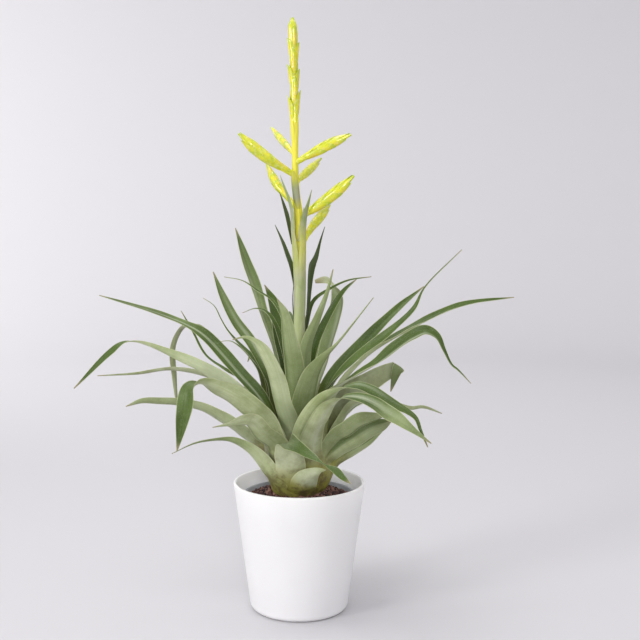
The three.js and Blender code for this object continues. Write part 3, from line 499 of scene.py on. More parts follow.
class Finish:
    """A material on the standard shader, with short calls that add its nodes.

    Every input of a call is a number, a colour or the output of another node.
    """

    def __init__(self, name):
        self.material = bpy.data.materials.new(name)
        self.material.use_nodes = True
        self.tree = self.material.node_tree
        self.place = self.add("ShaderNodeTexCoord").outputs["Object"]

    def feed(self, socket, value):
        if isinstance(value, bpy.types.NodeSocket):
            self.tree.links.new(value, socket)
        elif socket.type == "RGBA":
            socket.default_value = (*value, 1.0)
        else:
            socket.default_value = value

    def add(self, kind, inputs=None, **settings):
        node = self.tree.nodes.new(kind)
        for key, value in settings.items():
            setattr(node, key, value)
        for key, value in (inputs or {}).items():
            self.feed(node.inputs[key], value)
        return node

    def mix(self, share, low, high):
        """Colour between low and high."""
        return self.add("ShaderNodeMix", {0: share, 6: low, 7: high}, data_type="RGBA").outputs[2]

    def plus(self, first, second):
        return self.add("ShaderNodeMath", {0: first, 1: second}, operation="ADD").outputs[0]

    def times(self, first, second):
        return self.add("ShaderNodeMath", {0: first, 1: second}, operation="MULTIPLY").outputs[0]

    def between(self, value, low, high, out_low=0.0, out_high=1.0):
        """Smooth step of a value from one range to another."""
        ranges = {"Value": value, "From Min": low, "From Max": high, "To Min": out_low,
                  "To Max": out_high}
        return self.add("ShaderNodeMapRange", ranges,
                        interpolation_type="SMOOTHSTEP").outputs["Result"]

    def layer(self, name):
        return self.add("ShaderNodeAttribute", attribute_name=name).outputs["Fac"]

    def noise(self, coordinates, scale, detail=3.0, roughness=0.5, stretch=(1, 1, 1)):
        """Noise on coordinates that are first stretched along each axis."""
        placed = self.add("ShaderNodeMapping", {"Vector": coordinates, "Scale": stretch}).outputs[0]
        look = {"Vector": placed, "Scale": scale, "Detail": detail, "Roughness": roughness}
        return self.add("ShaderNodeTexNoise", look).outputs["Fac"]

    def bump(self, height, distance, strength, under=None):
        """Normal raised by a height in metres, on top of another one if that is given."""
        inputs = {"Height": height, "Distance": distance, "Strength": strength}
        if under is not None:
            inputs["Normal"] = under
        return self.add("ShaderNodeBump", inputs).outputs["Normal"]

    def done(self, skin, roughness, normal=None, **gloss):
        """Feeds the shader. Each key of gloss is a socket's name with underscores for spaces."""
        shader = self.tree.nodes["Principled BSDF"]
        inputs = {"Base Color": skin, "Roughness": roughness}
        if normal is not None:
            inputs["Normal"] = normal
        inputs.update({key.replace("_", " "): value for key, value in gloss.items()})
        for key, value in inputs.items():
            self.feed(shader.inputs[key], value)
        return self.material


def leaf_material():
    """Green leaf with a silvery bloom: pale outside, darker inside, with fine lengthwise veins.

    The foot of each leaf is olive with brown blotches, its edges are pale and turn dark brown at
    the foot, partly as dry margins and partly as painted shade between nested sheaths, and its tip
    is dry and brown. The layers tone and grey darken or grey the whole blade, tone also carrying
    painted shade stripes; a pale stripe is a painted highlight, and so is the outer face's colour
    where it is put on the inner face.
    """
    leaf = Finish("leaf_green")
    strip = leaf.add("ShaderNodeUVMap", uv_map="strip").outputs[0]
    inner, along, edge, tone, painted_highlight, foot, grey = (
        leaf.layer(key) for key in ("inner", "along", "edge", "tone", "painted_highlight", "foot", "grey"))
    bands = leaf.noise(strip, 3.2, 2, 0.5, (1, 0.03, 1))
    veins = leaf.noise(strip, 16, 3, 0.6, (1, 0.02, 1))
    patches = leaf.noise(leaf.place, 30, 4, 0.6)
    bloom = leaf.noise(leaf.place, 1100, 2, 0.7)
    blotches = leaf.noise(leaf.place, 60, 5, 0.7)
    striped = leaf.plus(leaf.times(bands, 0.5), leaf.times(veins, 0.5))
    lines = leaf.between(striped, 0.43, 0.57)
    spread = leaf.between(patches, 0.32, 0.70)

    outside = leaf.mix(spread, (0.53, 0.59, 0.335), (0.33, 0.39, 0.17))
    outside = leaf.mix(leaf.times(lines, 0.4), outside, (0.28, 0.36, 0.12))
    inside = leaf.mix(spread, (0.07, 0.115, 0.018), (0.03, 0.055, 0.006))
    inside = leaf.mix(leaf.times(lines, 0.3), inside, (0.17, 0.24, 0.07))
    grey_bloom = leaf.mix(spread, (0.41, 0.42, 0.29), (0.26, 0.275, 0.155))
    olive = leaf.mix(spread, (0.30, 0.28, 0.045), (0.17, 0.16, 0.014))
    # Edges: pale, turning dark brown at the foot, partly dry sheath margins and partly painted
    # shade in the slits between nested sheaths.
    rim = leaf.mix(foot, (0.58, 0.60, 0.34), (0.13, 0.09, 0.03))

    skin = leaf.mix(grey, leaf.mix(inner, outside, inside), grey_bloom)
    # Dark green by the tone layer, which also carries the painted shade stripes.
    skin = leaf.mix(leaf.times(tone, 0.85), skin, (0.05, 0.09, 0.008))
    # Painted highlight: a pale lengthwise stripe where a leaf would catch the light.
    painted_stripe = leaf.times(painted_highlight, leaf.between(veins, 0.3, 0.6, 0.6, 1.0))
    skin = leaf.mix(painted_stripe, skin, (0.62, 0.66, 0.50))
    skin = leaf.mix(leaf.between(bloom, 0.5, 0.72, 0.0, 0.10), skin, (0.66, 0.69, 0.60))
    skin = leaf.mix(foot, skin, olive)
    near_foot = leaf.plus(leaf.times(foot, 0.8), leaf.times(grey, 0.3))
    blotch = leaf.times(leaf.between(blotches, 0.46, 0.60, 0.0, 0.9), near_foot)
    skin = leaf.mix(blotch, skin, (0.13, 0.09, 0.045))
    skin = leaf.mix(leaf.between(edge, 0.88, 1.0, 0.0, 0.5), skin, rim)
    skin = leaf.mix(leaf.between(along, 0.95, 1.0, 0.0, 0.8), skin, (0.30, 0.26, 0.15))
    relief = leaf.bump(bloom, 0.0001, 0.3, leaf.bump(striped, 0.0006, 0.6))
    return leaf.done(skin, leaf.between(patches, 0.2, 0.8, 0.32, 0.48), relief,
                     Specular_IOR_Level=0.25)


def stalk_material():
    """Pale green stalk that turns yellow upwards. Bracts carry a leafy and a dark layer."""
    stalk = Finish("stalk_green")
    height = stalk.add("ShaderNodeSeparateXYZ", {0: stalk.place}).outputs[2]
    streaks = stalk.noise(stalk.place, 260, 3, 0.6, (1, 1, 0.06))
    patches = stalk.noise(stalk.place, 70, 3)
    skin = stalk.mix(stalk.between(streaks, 0.35, 0.68), (0.42, 0.47, 0.23), (0.30, 0.36, 0.14))
    skin = stalk.mix(stalk.between(patches, 0.4, 0.7, 0.0, 0.45), skin, (0.40, 0.38, 0.27))
    leafy = stalk.mix(stalk.between(patches, 0.38, 0.66), (0.26, 0.33, 0.13), (0.37, 0.37, 0.26))
    yellow = stalk.mix(stalk.between(streaks, 0.4, 0.7), (0.78, 0.70, 0.06), (0.60, 0.62, 0.05))
    skin = stalk.mix(stalk.between(height, 0.33, 0.38), skin, yellow)
    skin = stalk.mix(stalk.layer("leafy"), skin, leafy)
    skin = stalk.mix(stalk.times(stalk.layer("dark"), 0.9), skin, (0.035, 0.06, 0.015))
    return stalk.done(skin, stalk.between(patches, 0.2, 0.8, 0.38, 0.55),
                      stalk.bump(streaks, 0.0004, 0.5), Specular_IOR_Level=0.4)


def spike_material():
    """Waxy yellow bracts: orange along the middle, green at the edges and tip, with pale flecks of
    painted highlight.
    """
    spike = Finish("spike_yellow")
    patches = spike.noise(spike.place, 150, 3, 0.55)
    streaks = spike.noise(spike.place, 300, 2, 0.5)
    skin = spike.mix(spike.between(patches, 0.35, 0.65), (0.77, 0.73, 0.02), (0.56, 0.61, 0.012))
    warm = spike.times(spike.layer("foot"), spike.between(patches, 0.3, 0.65, 0.25, 0.8))
    skin = spike.mix(warm, skin, (0.76, 0.52, 0.04))
    skin = spike.mix(spike.times(spike.layer("tip"), 0.8), skin, (0.36, 0.50, 0.015))
    # Pale flecks: painted highlights.
    skin = spike.mix(spike.between(streaks, 0.50, 0.72, 0.0, 0.35), skin, (0.95, 0.90, 0.38))
    return spike.done(skin, spike.between(patches, 0.2, 0.8, 0.20, 0.36),
                      spike.bump(streaks, 0.0002, 0.35), Coat_Weight=0.5, Coat_Roughness=0.14,
                      Subsurface_Weight=0.15, Subsurface_Radius=(0.004, 0.003, 0.001),
                      Subsurface_Scale=0.6)


def pot_material():
    """Satin white glaze, a little uneven in gloss and surface, and painted lighter inside the pot,
    as painted light against the shade that falls there.
    """
    pot = Finish("pot_white")
    broad = pot.noise(pot.place, 9, 2, 0.5)
    fine = pot.noise(pot.place, 700, 2, 0.5)
    skin = pot.mix(pot.between(broad, 0.3, 0.7), (0.88, 0.87, 0.875), (0.85, 0.84, 0.85))
    # Painted light: the inner wall is whiter than the glaze outside, to lift the shade inside the
    # pot.
    skin = pot.mix(pot.layer("inside"), skin, (0.95, 0.945, 0.945))
    relief = pot.bump(fine, 0.00004, 0.3, pot.bump(broad, 0.0006, 0.4))
    return pot.done(skin, pot.between(broad, 0.2, 0.8, 0.34, 0.42), relief, Coat_Weight=0.15,
                    Coat_Roughness=0.25, Subsurface_Weight=0.8, Subsurface_Radius=(1.0, 1.0, 1.0),
                    Subsurface_Scale=0.011)


def liner_material():
    """Grey moulded plastic, matt and faintly grained."""
    liner = Finish("liner_grey")
    grain = liner.noise(liner.place, 1200, 2, 0.6)
    wear = liner.noise(liner.place, 60, 4, 0.6)
    skin = liner.mix(liner.between(wear, 0.35, 0.75), (0.34, 0.36, 0.40), (0.46, 0.48, 0.52))
    return liner.done(skin, 0.55, liner.bump(grain, 0.0001, 0.5))


def bark_material():
    """Bark granules from near black to red brown. A layer gives each granule its tone."""
    bark = Finish("bark_brown")
    grain = bark.noise(bark.place, 1500, 4, 0.7)
    tone = bark.layer("tone")
    skin = bark.mix(bark.between(tone, 0.2, 0.6), (0.022, 0.014, 0.018), (0.125, 0.05, 0.04))
    skin = bark.mix(bark.between(tone, 0.65, 0.95), skin, (0.30, 0.16, 0.12))
    skin = bark.mix(bark.between(grain, 0.45, 0.7, 0.0, 0.35), skin, (0.16, 0.085, 0.06))
    return bark.done(skin, 0.85, bark.bump(grain, 0.0004, 0.8))


def stem_material():
    """Olive brown woody stem with short fibres."""
    stem = Finish("stem_olive")
    fibres = stem.noise(stem.place, 400, 3, 0.6, (1, 1, 0.2))
    skin = stem.mix(stem.between(fibres, 0.35, 0.7), (0.10, 0.075, 0.02), (0.22, 0.18, 0.06))
    return stem.done(skin, 0.8, stem.bump(fibres, 0.0005, 0.6))


# Pot, inner pot and bark mix

def cover_pot(material):
    """Lathe form: a rounded foot, a half round lip and a rounded corner on the floor inside.

    The layer inside is 1 from the lip inwards, where the glaze is painted lighter as painted light.
    """
    height, rim, base, wall = (POT[key] for key in ("height", "rim", "base", "wall"))
    floor, corner, lip = POT["floor"], POT["corner"], POT["wall"] / 2
    profile = [[0, 0], [base - corner - POT["base_ring"], 0]]
    profile += arc((base - corner, corner), corner, -90, -8, 12)
    profile += arc((rim - lip, height - lip), lip, 0, 180, 12)
    first_inside = len(profile) - 1
    profile += arc((base - wall - corner, floor + corner), corner, 0, -90, 8)
    profile += [[base - wall - corner - POT["floor_ring"], floor], [0, floor]]
    points, faces = turned_shape(profile, POT["sides"])
    inside = np.arange(1, len(profile) - 1) >= first_inside
    layers = {"inside": np.append(np.repeat(inside, POT["sides"]), [0, 1])}
    return make_piece("white_pot", points, faces, material, "cover_pot", layers)


def cut_away(piece, points, faces):
    """Cuts a closed shape in millimetres out of a piece."""
    cutter = mesh_object("drills", points, faces, smooth=False)
    holes = piece.modifiers.new("holes", "BOOLEAN")
    holes.object, holes.operation, holes.solver = cutter, "DIFFERENCE", "EXACT"
    bpy.context.view_layer.update()
    seen = piece.evaluated_get(bpy.context.evaluated_depsgraph_get())
    cut = bpy.data.meshes.new_from_object(seen)
    piece.modifiers.clear()
    piece.data = cut
    bpy.data.objects.remove(cutter)


def nursery_pot(material):
    """Thin cup with a rolled rim. Round drain holes are cut through its floor."""
    foot, rim, base, wall = (LINER[key] for key in ("foot", "rim", "base", "wall"))
    lip, bead, bevel, fillet, edge = (LINER[key] for key in
                                      ("lip", "bead", "bevel", "fillet", "edge"))
    top, floor = foot + LINER["height"], foot + wall
    profile = [[0, foot], [base - bevel, foot], [base, foot + bevel],
               [rim - lip, top - LINER["lip_depth"]], [rim - lip, top - lip - fillet]]
    profile += arc((rim - bead, top - bead), bead, -60, 90, 7)
    profile += [[rim - lip - wall + edge, top], [rim - lip - wall, top - edge]]
    profile += [[base - wall, floor + fillet], [base - wall - fillet, floor], [0, floor]]
    points, faces = turned_shape(profile, LINER["sides"])
    piece = make_piece("grey_inner_pot", points, faces, material, "nursery_pot")
    low, high = foot - DRAIN["past"], floor + DRAIN["past"]
    drill = [[0, low], [DRAIN["radius"], low], [DRAIN["radius"], high], [0, high]]
    drill_points, drill_faces = turned_shape(drill, DRAIN["sides"])
    places = [np.array([np.cos(angle), np.sin(angle), 0]) * DRAIN["circle"]
              for angle in circle(DRAIN["holes"])]
    points, faces, _ = join_parts([(drill_points + place, drill_faces, {}) for place in places])
    cut_away(piece, points, faces)
    return piece


def icosahedron():
    """Twelve corners on three golden rectangles, and the twenty triangles between them."""
    gold = (1 + 5 ** 0.5) / 2
    corners = np.array([
        (-1, gold, 0), (1, gold, 0), (-1, -gold, 0), (1, -gold, 0), (0, -1, gold), (0, 1, gold),
        (0, -1, -gold), (0, 1, -gold), (gold, 0, -1), (gold, 0, 1), (-gold, 0, -1), (-gold, 0, 1)])
    faces = np.array([
        (0, 11, 5), (0, 5, 1), (0, 1, 7), (0, 7, 10), (0, 10, 11), (1, 5, 9), (5, 11, 4),
        (11, 10, 2), (10, 7, 6), (7, 1, 8), (3, 9, 4), (3, 4, 2), (3, 2, 6), (3, 6, 8), (3, 8, 9),
        (4, 9, 5), (2, 4, 11), (6, 2, 10), (8, 6, 7), (9, 8, 1)])
    return unit(corners), faces


def bark_mix(material):
    """A low mound with granules: squashed, dented and turned icosahedra, spread evenly by area."""
    points, faces = turned_shape(SOIL_BOTTOM + MOUND[::-1] + STEM_HOLLOW, 96)
    parts = [(points, faces, {"tone": 0.05})]
    count = GRANULES["count"]
    radius = np.sqrt(random.uniform(GRANULES["inner"] ** 2, GRANULES["outer"] ** 2, count))
    angle = random.uniform(0, 2 * pi, count)
    height = np.interp(radius, *zip(*MOUND)) + random.uniform(*GRANULES["lift"], count)
    size = random.gamma(5, 0.28, count).clip(*GRANULES["size"])
    corners, triangles = icosahedron()
    squash = random.uniform(*GRANULES["squash"], (count, 1, 3)) * size[:, None, None]
    dents = random.uniform(*GRANULES["dent"], (count, len(corners), 1))
    turn, _ = np.linalg.qr(random.normal(size=(count, 3, 3)))
    turn[:, :, 0] *= np.sign(np.linalg.det(turn))[:, None]
    centres = np.stack([radius * np.cos(angle), radius * np.sin(angle), height], -1)
    grains = np.einsum("nij,nkj->nki", turn, corners * squash * dents) + centres[:, None, :]
    numbers = triangles[None] + np.arange(count)[:, None, None] * len(corners)
    tone = np.repeat(random.uniform(0, 1, count), len(corners))
    parts.append((grains.reshape(-1, 3), numbers.reshape(-1, 3).tolist(), {"tone": tone}))
    points, faces, layers = join_parts(parts)
    return make_piece("bark_granules", points, faces, material, "soil", layers,
                      crease=30)


# Leaves

def sheath_radius(layer_number, z):
    """Radius of a nested cone: foot plus a power of the height share times the way to the mouth."""
    foot = SHEATH["first"] + SHEATH["pitch"] * layer_number
    mouth = SHEATH["mouth_first"] + SHEATH["mouth_pitch"] * layer_number
    rise = np.maximum(0, (z - SHEATH["foot_z"]) / (SHEATH["mouth_z"] - SHEATH["foot_z"]))
    return foot + (mouth - foot) * rise ** SHEATH["flare"]


def stack_sheaths():
    """Each leaf lies one sheath further out than every earlier leaf that its foot overlaps."""
    for number, leaf in enumerate(LEAVES):
        leaf.setdefault("wrap", BLADE["wrap"])
        leaf["heading"] = np.arctan2(leaf["path"][0][1], leaf["path"][0][0])
        leaf["layer"] = 0
        for inner in LEAVES[:number]:
            turns = (leaf["heading"] - inner["heading"]) / (2 * pi)
            apart = abs(turns - round(turns)) * 360
            if apart < leaf["wrap"] + inner["wrap"] + SHEATH["clearance"]:
                leaf["layer"] = max(leaf["layer"], inner["layer"] + 1)


def blade_rings(stations, strips):
    """Closed rings of a blade with two faces.

    The section is an arc: at angle a it lies at radius times sine a across, and at radius times
    one less cosine a inwards, where radius is half width over half angle. The crease pulls the
    arc towards a V of the same depth, whose bottom is rounded. The blade thins to its edges by the
    fourth power of the share, and each edge waves a little.
    """
    share = np.linspace(-1, 1, strips + 1)
    half_angle = stations["half_angle"][:, None]
    radius = stations["half_width"][:, None] / half_angle
    angle = half_angle * share
    soft = 0.02
    valley = (np.sqrt(share ** 2 + soft) - soft ** 0.5) / ((1 + soft) ** 0.5 - soft ** 0.5)
    depth = lerp(radius * (1 - np.cos(angle)), radius * (1 - np.cos(half_angle)) * valley,
                 stations["crease"][:, None])
    left, right = stations["edge_waves"]
    depth = depth + np.where(share < 0, left[:, None], right[:, None]) * np.abs(share) ** 2.5
    thin = stations["thickness"][:, None] * (1 - 0.6 * np.abs(share) ** 4) / 2
    centre, across, inward = stations["frames"]
    rows = []
    for side in (-1, 1):
        sideways = radius * np.sin(angle) - side * thin * np.sin(angle)
        inwards = depth + side * thin * np.cos(angle)
        rows.append(centre[:, None] + across[:, None] * sideways[..., None]
                    + inward[:, None] * inwards[..., None])
    rings = np.concatenate([rows[0], rows[1][:, ::-1]], axis=1)
    shares = np.concatenate([share, share[::-1]])
    inner = np.repeat([0.0, 1.0], strips + 1)
    return rings, shares, inner


def blade_faces(rows, strips):
    """Quads round the blade, and a row of quads that closes each end."""
    columns = 2 * (strips + 1)
    j = np.arange(strips)
    outer, inner = j, columns - 1 - j
    start = np.stack([outer, inner, inner - 1, outer + 1], -1)
    end = np.stack([outer + 1, inner - 1, inner, outer], -1) + (rows - 1) * columns
    return tube_faces(rows, columns) + start.tolist() + end.tolist()


def along_path(places, values):
    """Values given at the points of the free path, read at each station, then a running mean."""
    read = np.interp(places, np.arange(len(values)) + 2, values)
    reach = BLADE["steps"] // 2
    window = 2 * reach + 1
    padded = np.pad(read, reach, mode="reflect", reflect_type="odd")
    return np.convolve(padded, np.ones(window) / window, mode="valid")


def along_leaf(places, value):
    """One number for the whole leaf, or a list that is read along its free path."""
    if isinstance(value, list):
        return along_path(places, value)
    return np.full(len(places), float(value))


def rolled(leaf, places, facing, inward):
    """Inner face's direction, turned from the carried one to the leaf's own roll.

    Roll is the angle about the blade's way, from the direction that looks most to the viewer.
    """
    front = unit(TO_VIEWER - dot(facing, TO_VIEWER)[:, None] * facing)
    side = np.cross(facing, front)
    roll = np.unwrap(np.arctan2(dot(inward, side), dot(inward, front)))
    own = np.radians(along_path(places, leaf["roll"]))
    start = 2 * BLADE["steps"]
    own += 2 * pi * np.round((roll[start] - own[start]) / (2 * pi))
    roll = lerp(roll, own, smoothstep(places, 1, 2.3))
    return front * np.cos(roll)[:, None] + side * np.sin(roll)[:, None]


def slanted(leaf, places, facing, across):
    """Across direction, turned to the leaf's own slant: the angle from level seen by the viewer."""
    own = np.radians(along_path(places, leaf["slant"]))
    own = np.stack([np.cos(own), 0 * own, np.sin(own)], axis=-1)
    across = lerp(across, own, smoothstep(places, 1, 2.3)[:, None])
    return unit(across - dot(across, facing)[:, None] * facing)


def leaf_stations(leaf):
    """Stations of a leaf: along its cone up to the mouth, then along its free path.

    Places count spans: 0 is the foot, 1 the mouth of the sheath, and 2 the first point of the path.
    From 1 on the section opens from the sheath's arc to the blade's, and the ripple of its edges
    sets in: two sines of the length along the leaf.
    """
    number, heading, wrap = leaf["layer"], leaf["heading"], radians(leaf["wrap"])
    foot_z = SHEATH["foot_z"] + BLADE["gap"]
    mouth_z = min(SHEATH["top"] - SHEATH["top_step"] * number,
                  leaf["path"][0][2] - SHEATH["below_path"])
    outward = np.array([np.cos(heading), np.sin(heading), 0])

    def on_cone(z):
        return sheath_radius(number, z)[:, None] * outward + z[:, None] * UP

    start = on_cone(np.array([mouth_z - SHEATH["lead"], mouth_z], float))
    free = smooth_path(np.vstack([start, leaf["path"]]))
    spans = len(leaf["path"]) + 1

    def centre_at(places):
        cone = on_cone(lerp(foot_z, mouth_z, np.minimum(places, 1)))
        return np.where((places < 1)[:, None], cone, free(np.clip(places, 1, spans)))

    places = np.linspace(0, spans, spans * BLADE["steps"] + 1)
    centre = centre_at(places)
    along = tangents(centre_at, places)
    facing = unit(lerp(UP, along, smoothstep(places, 1, 2)[:, None]))
    across = carried_across(facing, np.array([-np.sin(heading), np.cos(heading), 0]))
    turn = np.radians(leaf.get("turn", 0) * smoothstep(places, 1, 3))
    across = turned_about(facing, across, turn)
    inward = np.cross(facing, across)
    if "roll" in leaf:
        inward = rolled(leaf, places, facing, inward)
        across = np.cross(inward, facing)
    if "slant" in leaf:
        across = slanted(leaf, places, facing, across)
        inward = np.cross(facing, across)

    travelled = np.append(0, np.cumsum(np.linalg.norm(np.diff(centre, axis=0), axis=1)))
    share = travelled / travelled[-1]
    body = leaf["width"] / 2 * (1 - share ** BLADE["taper"]) + BLADE["tip"]
    if "wide" in leaf:
        body = along_path(places, leaf["wide"]) / 2
    sheath = wrap * sheath_radius(number, np.minimum(centre[:, 2], mouth_z))
    opened = smoothstep(places, 1, 2.2)
    phase = random.uniform(0, 2 * pi, 4)
    wave = travelled / random.uniform(*BLADE["wave"])
    ripple = BLADE["ripple"] * body * opened
    edge_waves = [ripple * (np.sin(wave * 2 * pi + first) + 0.5 * np.sin(wave * 5 + second))
                  for first, second in phase.reshape(2, 2)]
    channel = radians(leaf.get("channel", BLADE["channel"]))
    return dict(frames=(centre, across, inward), travelled=travelled, share=share, places=places,
                half_width=lerp(sheath, body, opened), half_angle=lerp(wrap, channel, opened),
                crease=BLADE["crease"] * opened, edge_waves=edge_waves,
                thickness=BLADE["thickness"] / dot(along, facing))


def painted_stripe(shares, middle, reach, strength):
    """Strength of a lengthwise stripe of painted highlight or painted shade: full at its middle
    across the blade, and 0 at its reach.
    """
    return strength * (1 - smoothstep(np.abs(shares - middle), 0, reach))


def leaf_piece(leaf, material):
    """Blade with its layers: inner face, edge and length shares, foot, and the leaf's finish, with
    its painted highlight and painted shade stripes.
    """
    stations = leaf_stations(leaf)
    strips = 12 if leaf["width"] > 10 else 6
    rings, shares, inner = blade_rings(stations, strips)
    rows, columns = rings.shape[:2]
    across = stations["half_width"][:, None] * shares
    length = np.broadcast_to(stations["travelled"][:, None], across.shape)
    strip = np.stack([across + leaf["layer"] * 40, length], -1) / 10

    places, share, height = stations["places"], stations["share"], stations["frames"][0][:, 2]
    olive = leaf.get("olive", BLADE["olive"])
    near_mouth = 0.95 * (1 - smoothstep(places, 2.2, 3.2)) * smoothstep(height, olive, olive - 40)
    foot = np.maximum(near_mouth, 0.6 * smoothstep(places, 2.3, 1.0))
    # Painted highlight stripe across the blade, faded out towards the tip.
    *painted_highlight, painted_highlight_end = leaf.get("painted_highlight", (0, 1, 0, 1))
    fade = smoothstep(share, painted_highlight_end, painted_highlight_end - 0.3)[:, None]
    usual_tone = random.uniform(0, 0.35)
    tone = along_leaf(places, leaf.get("tone", usual_tone))[:, None]
    # Painted shade: a dark lengthwise stripe, added to tone, where a leaf lies in shadow by its
    # neighbour or fold.
    tone = tone + painted_stripe(shares, *leaf.get("painted_shade", (0, 1, 0)))
    # pale puts the outer face's paler colour on the inner face: a painted highlight.
    pale = along_leaf(places, leaf.get("pale", 0))[:, None]
    layers = dict(inner=((1 - pale) * inner).ravel(), painted_highlight=(painted_stripe(shares, *painted_highlight) * fade).ravel(),
                  grey=np.repeat(along_leaf(places, leaf.get("grey", 0)), columns),
                  along=np.repeat(share, columns), edge=np.tile(np.abs(shares), rows),
                  foot=np.repeat(foot, columns), tone=tone.clip(0, 1).ravel())
    return make_piece("blade_" + leaf["name"], rings.reshape(-1, 3), blade_faces(rows, strips),
                      material, "leaf_" + leaf["name"], layers, strip.reshape(-1, 2))


# Flower stalk and spikes

def shell(frames, radius, start, end, heading, half_span, lift, thickness):
    """A bract that hugs a round body and ends in a point.

    It runs from start to end of the body's stations. At share a of its length it spans half_span
    times the square root of one less a to the power 2.4, either side of its heading. It grows out
    of the body at its foot and stands off it by a little, plus lift times a squared. A low keel
    runs along its middle, and its sides are thinner by the third power of the share across.
    """
    rows, columns = BRACT["rows"], BRACT["columns"]
    share = np.linspace(0, 1, rows)
    place = lerp(start, end, share)
    number = np.arange(len(radius))
    frames_here = [np.stack([np.interp(place, number, line) for line in value.T], -1)
                   for value in frames]
    side = np.linspace(-1, 1, columns)
    belly = np.sin(share * pi)
    span = half_span * np.sqrt(np.maximum(1 - share ** 2.4, 0)) * (0.75 + 0.25 * belly) + 0.04
    angle = heading + span[:, None] * side
    keel = BRACT["keel"] * (1 - np.abs(side)) ** 2 * belly[:, None]
    sunk = BRACT["sunk"] * smoothstep(share, 0.16, 0)
    body = (np.interp(place, number, radius)[:, None] + BRACT["clear"] - sunk[:, None]
            + lift * share[:, None] ** 2 + keel)
    skin = thickness * (1 - 0.7 * np.abs(side) ** 3)
    outer, inner = (round_points(frames_here, body + offset, angle) for offset in (skin, 0))
    rings = np.concatenate([outer, inner[:, ::-1]], axis=1)
    shares = np.repeat(share, 2 * columns)
    sides = np.tile(np.abs(np.concatenate([side, side[::-1]])), rows)
    layers = {"tip": np.maximum(smoothstep(shares, 0.6, 1.0), 0.5 * smoothstep(sides, 0.55, 1.0)),
              "foot": np.sin(np.clip(shares * 1.25, 0, 1) * pi) * smoothstep(sides, 0.7, 0.1)}
    return rings.reshape(-1, 3), blade_faces(rows, columns - 1), layers


def round_body(frames, radius, sides):
    """Closed body whose rings have the station's radius, or one radius for each side."""
    return closed_tube(round_points(frames, radius, circle(sides)), frames[0][0], frames[0][-1])


def spike_body(frames, radius, green):
    """Round body of a spike, with the green share of its tip at each station."""
    points, faces = round_body(frames, radius[:, None], SPIKE["sides"])
    tip = np.append(np.repeat(green, SPIKE["sides"]), [0, 1])
    return points, faces, {"tip": tip, "foot": 0.0}


def spike_piece(name, parts, material):
    points, faces, layers = join_parts(parts)
    return make_piece("bracts_" + name, points, faces, material, "spike_" + name,
                      layers)


def side_spike(name, girth, path, material):
    """Short stalk and spindle body, clasped by two rows of overlapping bracts."""
    count = 60
    spans = len(path) - 1
    places = np.linspace(0.03 * spans, spans, count)
    frames = round_frames(path, places, UP)
    share = places / spans
    belly = lerp(SPIKE["stalk"], SPIKE["belly"], smoothstep(share, 0.2, 0.55))
    radius = lerp(belly, SPIKE["tip"], smoothstep(share, 0.70, 1.05)) * girth * 0.9
    parts = [spike_body(frames, radius, smoothstep(share, 0.9, 1))]
    last = SPIKE["side_bracts"] - 1
    for k in range(last + 1):
        start = count * (0.06 + 0.62 * k / last)
        end = min(start + count * lerp(0.40, 0.30, k / last), count - 1)
        heading = (k % 2) * pi - 0.5 + random.uniform(-0.15, 0.15)
        parts.append(shell(frames, radius, start, end, heading, 1.7, 0.9 * girth, 0.35))
    return spike_piece(name, parts, material)


def end_spike(material):
    """Slim upright body that swells to a bud, with bracts that stand off left and right."""
    count = 90
    spans = len(END_SPIKE) - 1
    places = np.linspace(0, spans, count)
    frames = round_frames(END_SPIKE, places, RIGHT)
    share = places / spans
    body = lerp(4.3, 4.9, smoothstep(share, 0.3, 0.85))
    radius = lerp(body, SPIKE["tip"], smoothstep(share, 0.86, 1.04)) * 0.92
    parts = [spike_body(frames, radius, smoothstep(share, 0.93, 1))]
    for foot, tip, heading, half_span, lift in END_BRACTS:
        start, end = np.interp([foot, tip], frames[0][:, 2], np.arange(count))
        parts.append(shell(frames, radius, start, end, radians(heading), half_span, lift, 0.4))
    return spike_piece("end", parts, material)


def stalk_bract(bract):
    """Keeled blade along its midrib. Its width, arc and leafy share are read along the path."""
    points = np.asarray(bract["path"], float)
    spans = len(points) - 1
    places = np.linspace(0, spans, spans * BLADE["steps"] + 1)
    centre_at = smooth_path(points)
    along = tangents(centre_at, places)
    heading = radians(bract["heading"])
    across = carried_across(along, np.cross(along[0], [np.cos(heading), np.sin(heading), 0]))
    arc_foot, arc_tip = bract["arc"]
    half_angle = np.radians(lerp(arc_foot, arc_tip, smoothstep(places / spans, 0.1, 0.75)))
    flat = np.zeros(len(places))
    stations = dict(frames=(centre_at(places), across, np.cross(along, across)),
                    half_width=np.interp(places, np.arange(spans + 1), bract["wide"]) / 2,
                    half_angle=half_angle, crease=flat + 0.25, thickness=flat + 0.5,
                    edge_waves=(flat, flat))
    strips = 10
    rings, _, inner = blade_rings(stations, strips)
    rows, columns = rings.shape[:2]
    leafy = np.interp(places, np.linspace(0, spans, len(bract["leafy"])), bract["leafy"])
    layers = {"leafy": np.repeat(leafy, columns),
              "dark": np.tile(bract["dark"] * (0.5 + 0.5 * inner), rows)}
    return rings.reshape(-1, 3), blade_faces(rows, strips), layers


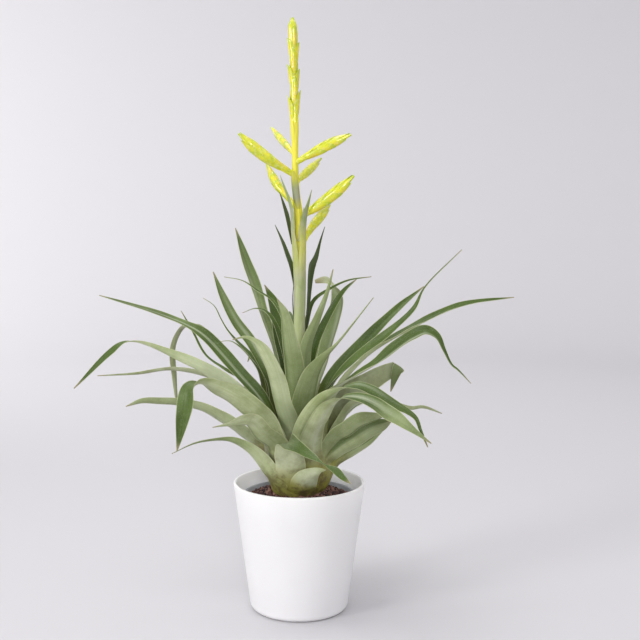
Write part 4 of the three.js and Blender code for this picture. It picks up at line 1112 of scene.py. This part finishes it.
def flower_stalk(material):
    """Round stalk with faint ribs, clasping sleeves low down and leafy bracts above.

    The ribs add a little of the cosine of nine times the angle to the radius.
    """
    points, radii = zip(*STALK)
    places = np.linspace(0, len(points) - 1, 161)
    frames = round_frames(points, places, RIGHT)
    height = frames[0][:, 2]
    radius = np.interp(height, [point[2] for point in points], radii)
    sides = 32
    ribbed = radius[:, None] + 0.12 * np.cos(circle(sides) * 9)
    body, faces = round_body(frames, ribbed, sides)
    parts = [(body, faces, {"dark": 0.0, "leafy": 0.0})]
    for foot, tip, heading, lift in SLEEVES:
        start, end = np.interp([foot, tip], height, np.arange(len(height)))
        sleeve, faces, _ = shell(frames, radius, start, end, radians(heading), 2.3, lift, 0.4)
        parts.append((sleeve, faces, {"dark": 0.0, "leafy": 0.15}))
    parts += [stalk_bract(bract) for bract in STALK_BRACTS]
    points, faces, layers = join_parts(parts)
    return make_piece("stalk_and_bracts", points, faces, material, "flower_stalk",
                      layers)


# Stage, lights and camera

def studio_floor():
    """Pale floor that turns up into a low round wall far outside the object."""
    level, bend, top, sides, below = 2000, 1300, 1900, 96, 0.05
    profile = np.array([[0, 0], [level, 0]] + arc((level, bend), bend, -90, 0, 20)
                       + [[level + bend, top]], float)
    profile[:, 1] -= below
    faces = [face[::-1] for face in tube_faces(len(profile), sides)]
    floor = mesh_object("studio_floor", lathe_rings(profile, sides).reshape(-1, 3), faces)
    grey = Finish("studio_grey").done((0.58, 0.57, 0.585), 0.95, Specular_IOR_Level=0.1)
    floor.data.materials.append(grey)


def soft_light(name, location, target, size, power, spread=180):
    """Square lamp that looks at its target. A spread under 180 degrees hoods it."""
    data = bpy.data.lights.new(name, "AREA")
    data.shape, data.size, data.energy, data.spread = "SQUARE", size, power, radians(spread)
    lamp = add_object(name, data)
    lamp.visible_camera = False
    lamp.location = location
    x, y, z = np.array(location, float) - np.array(target, float)
    lamp.rotation_euler = (np.arctan2(np.hypot(x, y), z), 0, np.arctan2(x, -y))


def studio_lights():
    """Soft lamps from the left, the front and above, one for the wall, and even light all round."""
    soft_light("key", (-2.3, -1.6, 0.95), (0, 0, 0.2), 0.7, 9.7, 100)
    soft_light("front", (0.3, -3.2, 0.9), (0, 0, 0.13), 0.7, 15.2, 100)
    soft_light("top", (-0.5, -0.1, 2.4), (0, 0, 0.2), 0.7, 16)
    soft_light("wall", (-2.2, 0.6, 1.5), (-1.6, 3.0, 0.9), 1.2, 34, 140)
    world = bpy.data.worlds.new("studio_air")
    world.use_nodes = True
    air = world.node_tree.nodes["Background"].inputs
    air["Color"].default_value = (0.98, 0.975, 1.0, 1.0)
    air["Strength"].default_value = 0.97
    bpy.context.scene.world = world
    bpy.context.scene.view_settings.view_transform = "Standard"


def photo_camera():
    """Level camera a little over a metre in front, at the height of the upper leaves."""
    data = bpy.data.cameras.new("camera")
    data.sensor_width, data.lens = 36, 57.77
    data.shift_x, data.shift_y = 0.0325, -0.1578
    camera = add_object("camera", data)
    camera.location = (0, -1.06, 0.398)
    camera.rotation_euler = (radians(90), 0, 0)
    bpy.context.scene.camera = camera


photo_camera()
studio_lights()
studio_floor()
cover_pot(pot_material())
nursery_pot(liner_material())
bark_mix(bark_material())
stack_sheaths()
green = leaf_material()
for leaf in LEAVES:
    leaf_piece(leaf, green)
flower_stalk(stalk_material())
yellow = spike_material()
for name, girth, path in SIDE_SPIKES:
    side_spike(name, girth, path, yellow)
end_spike(yellow)
stem = bpy.data.objects["short_stem"]
stem.data.materials.clear()
stem.data.materials.append(stem_material())
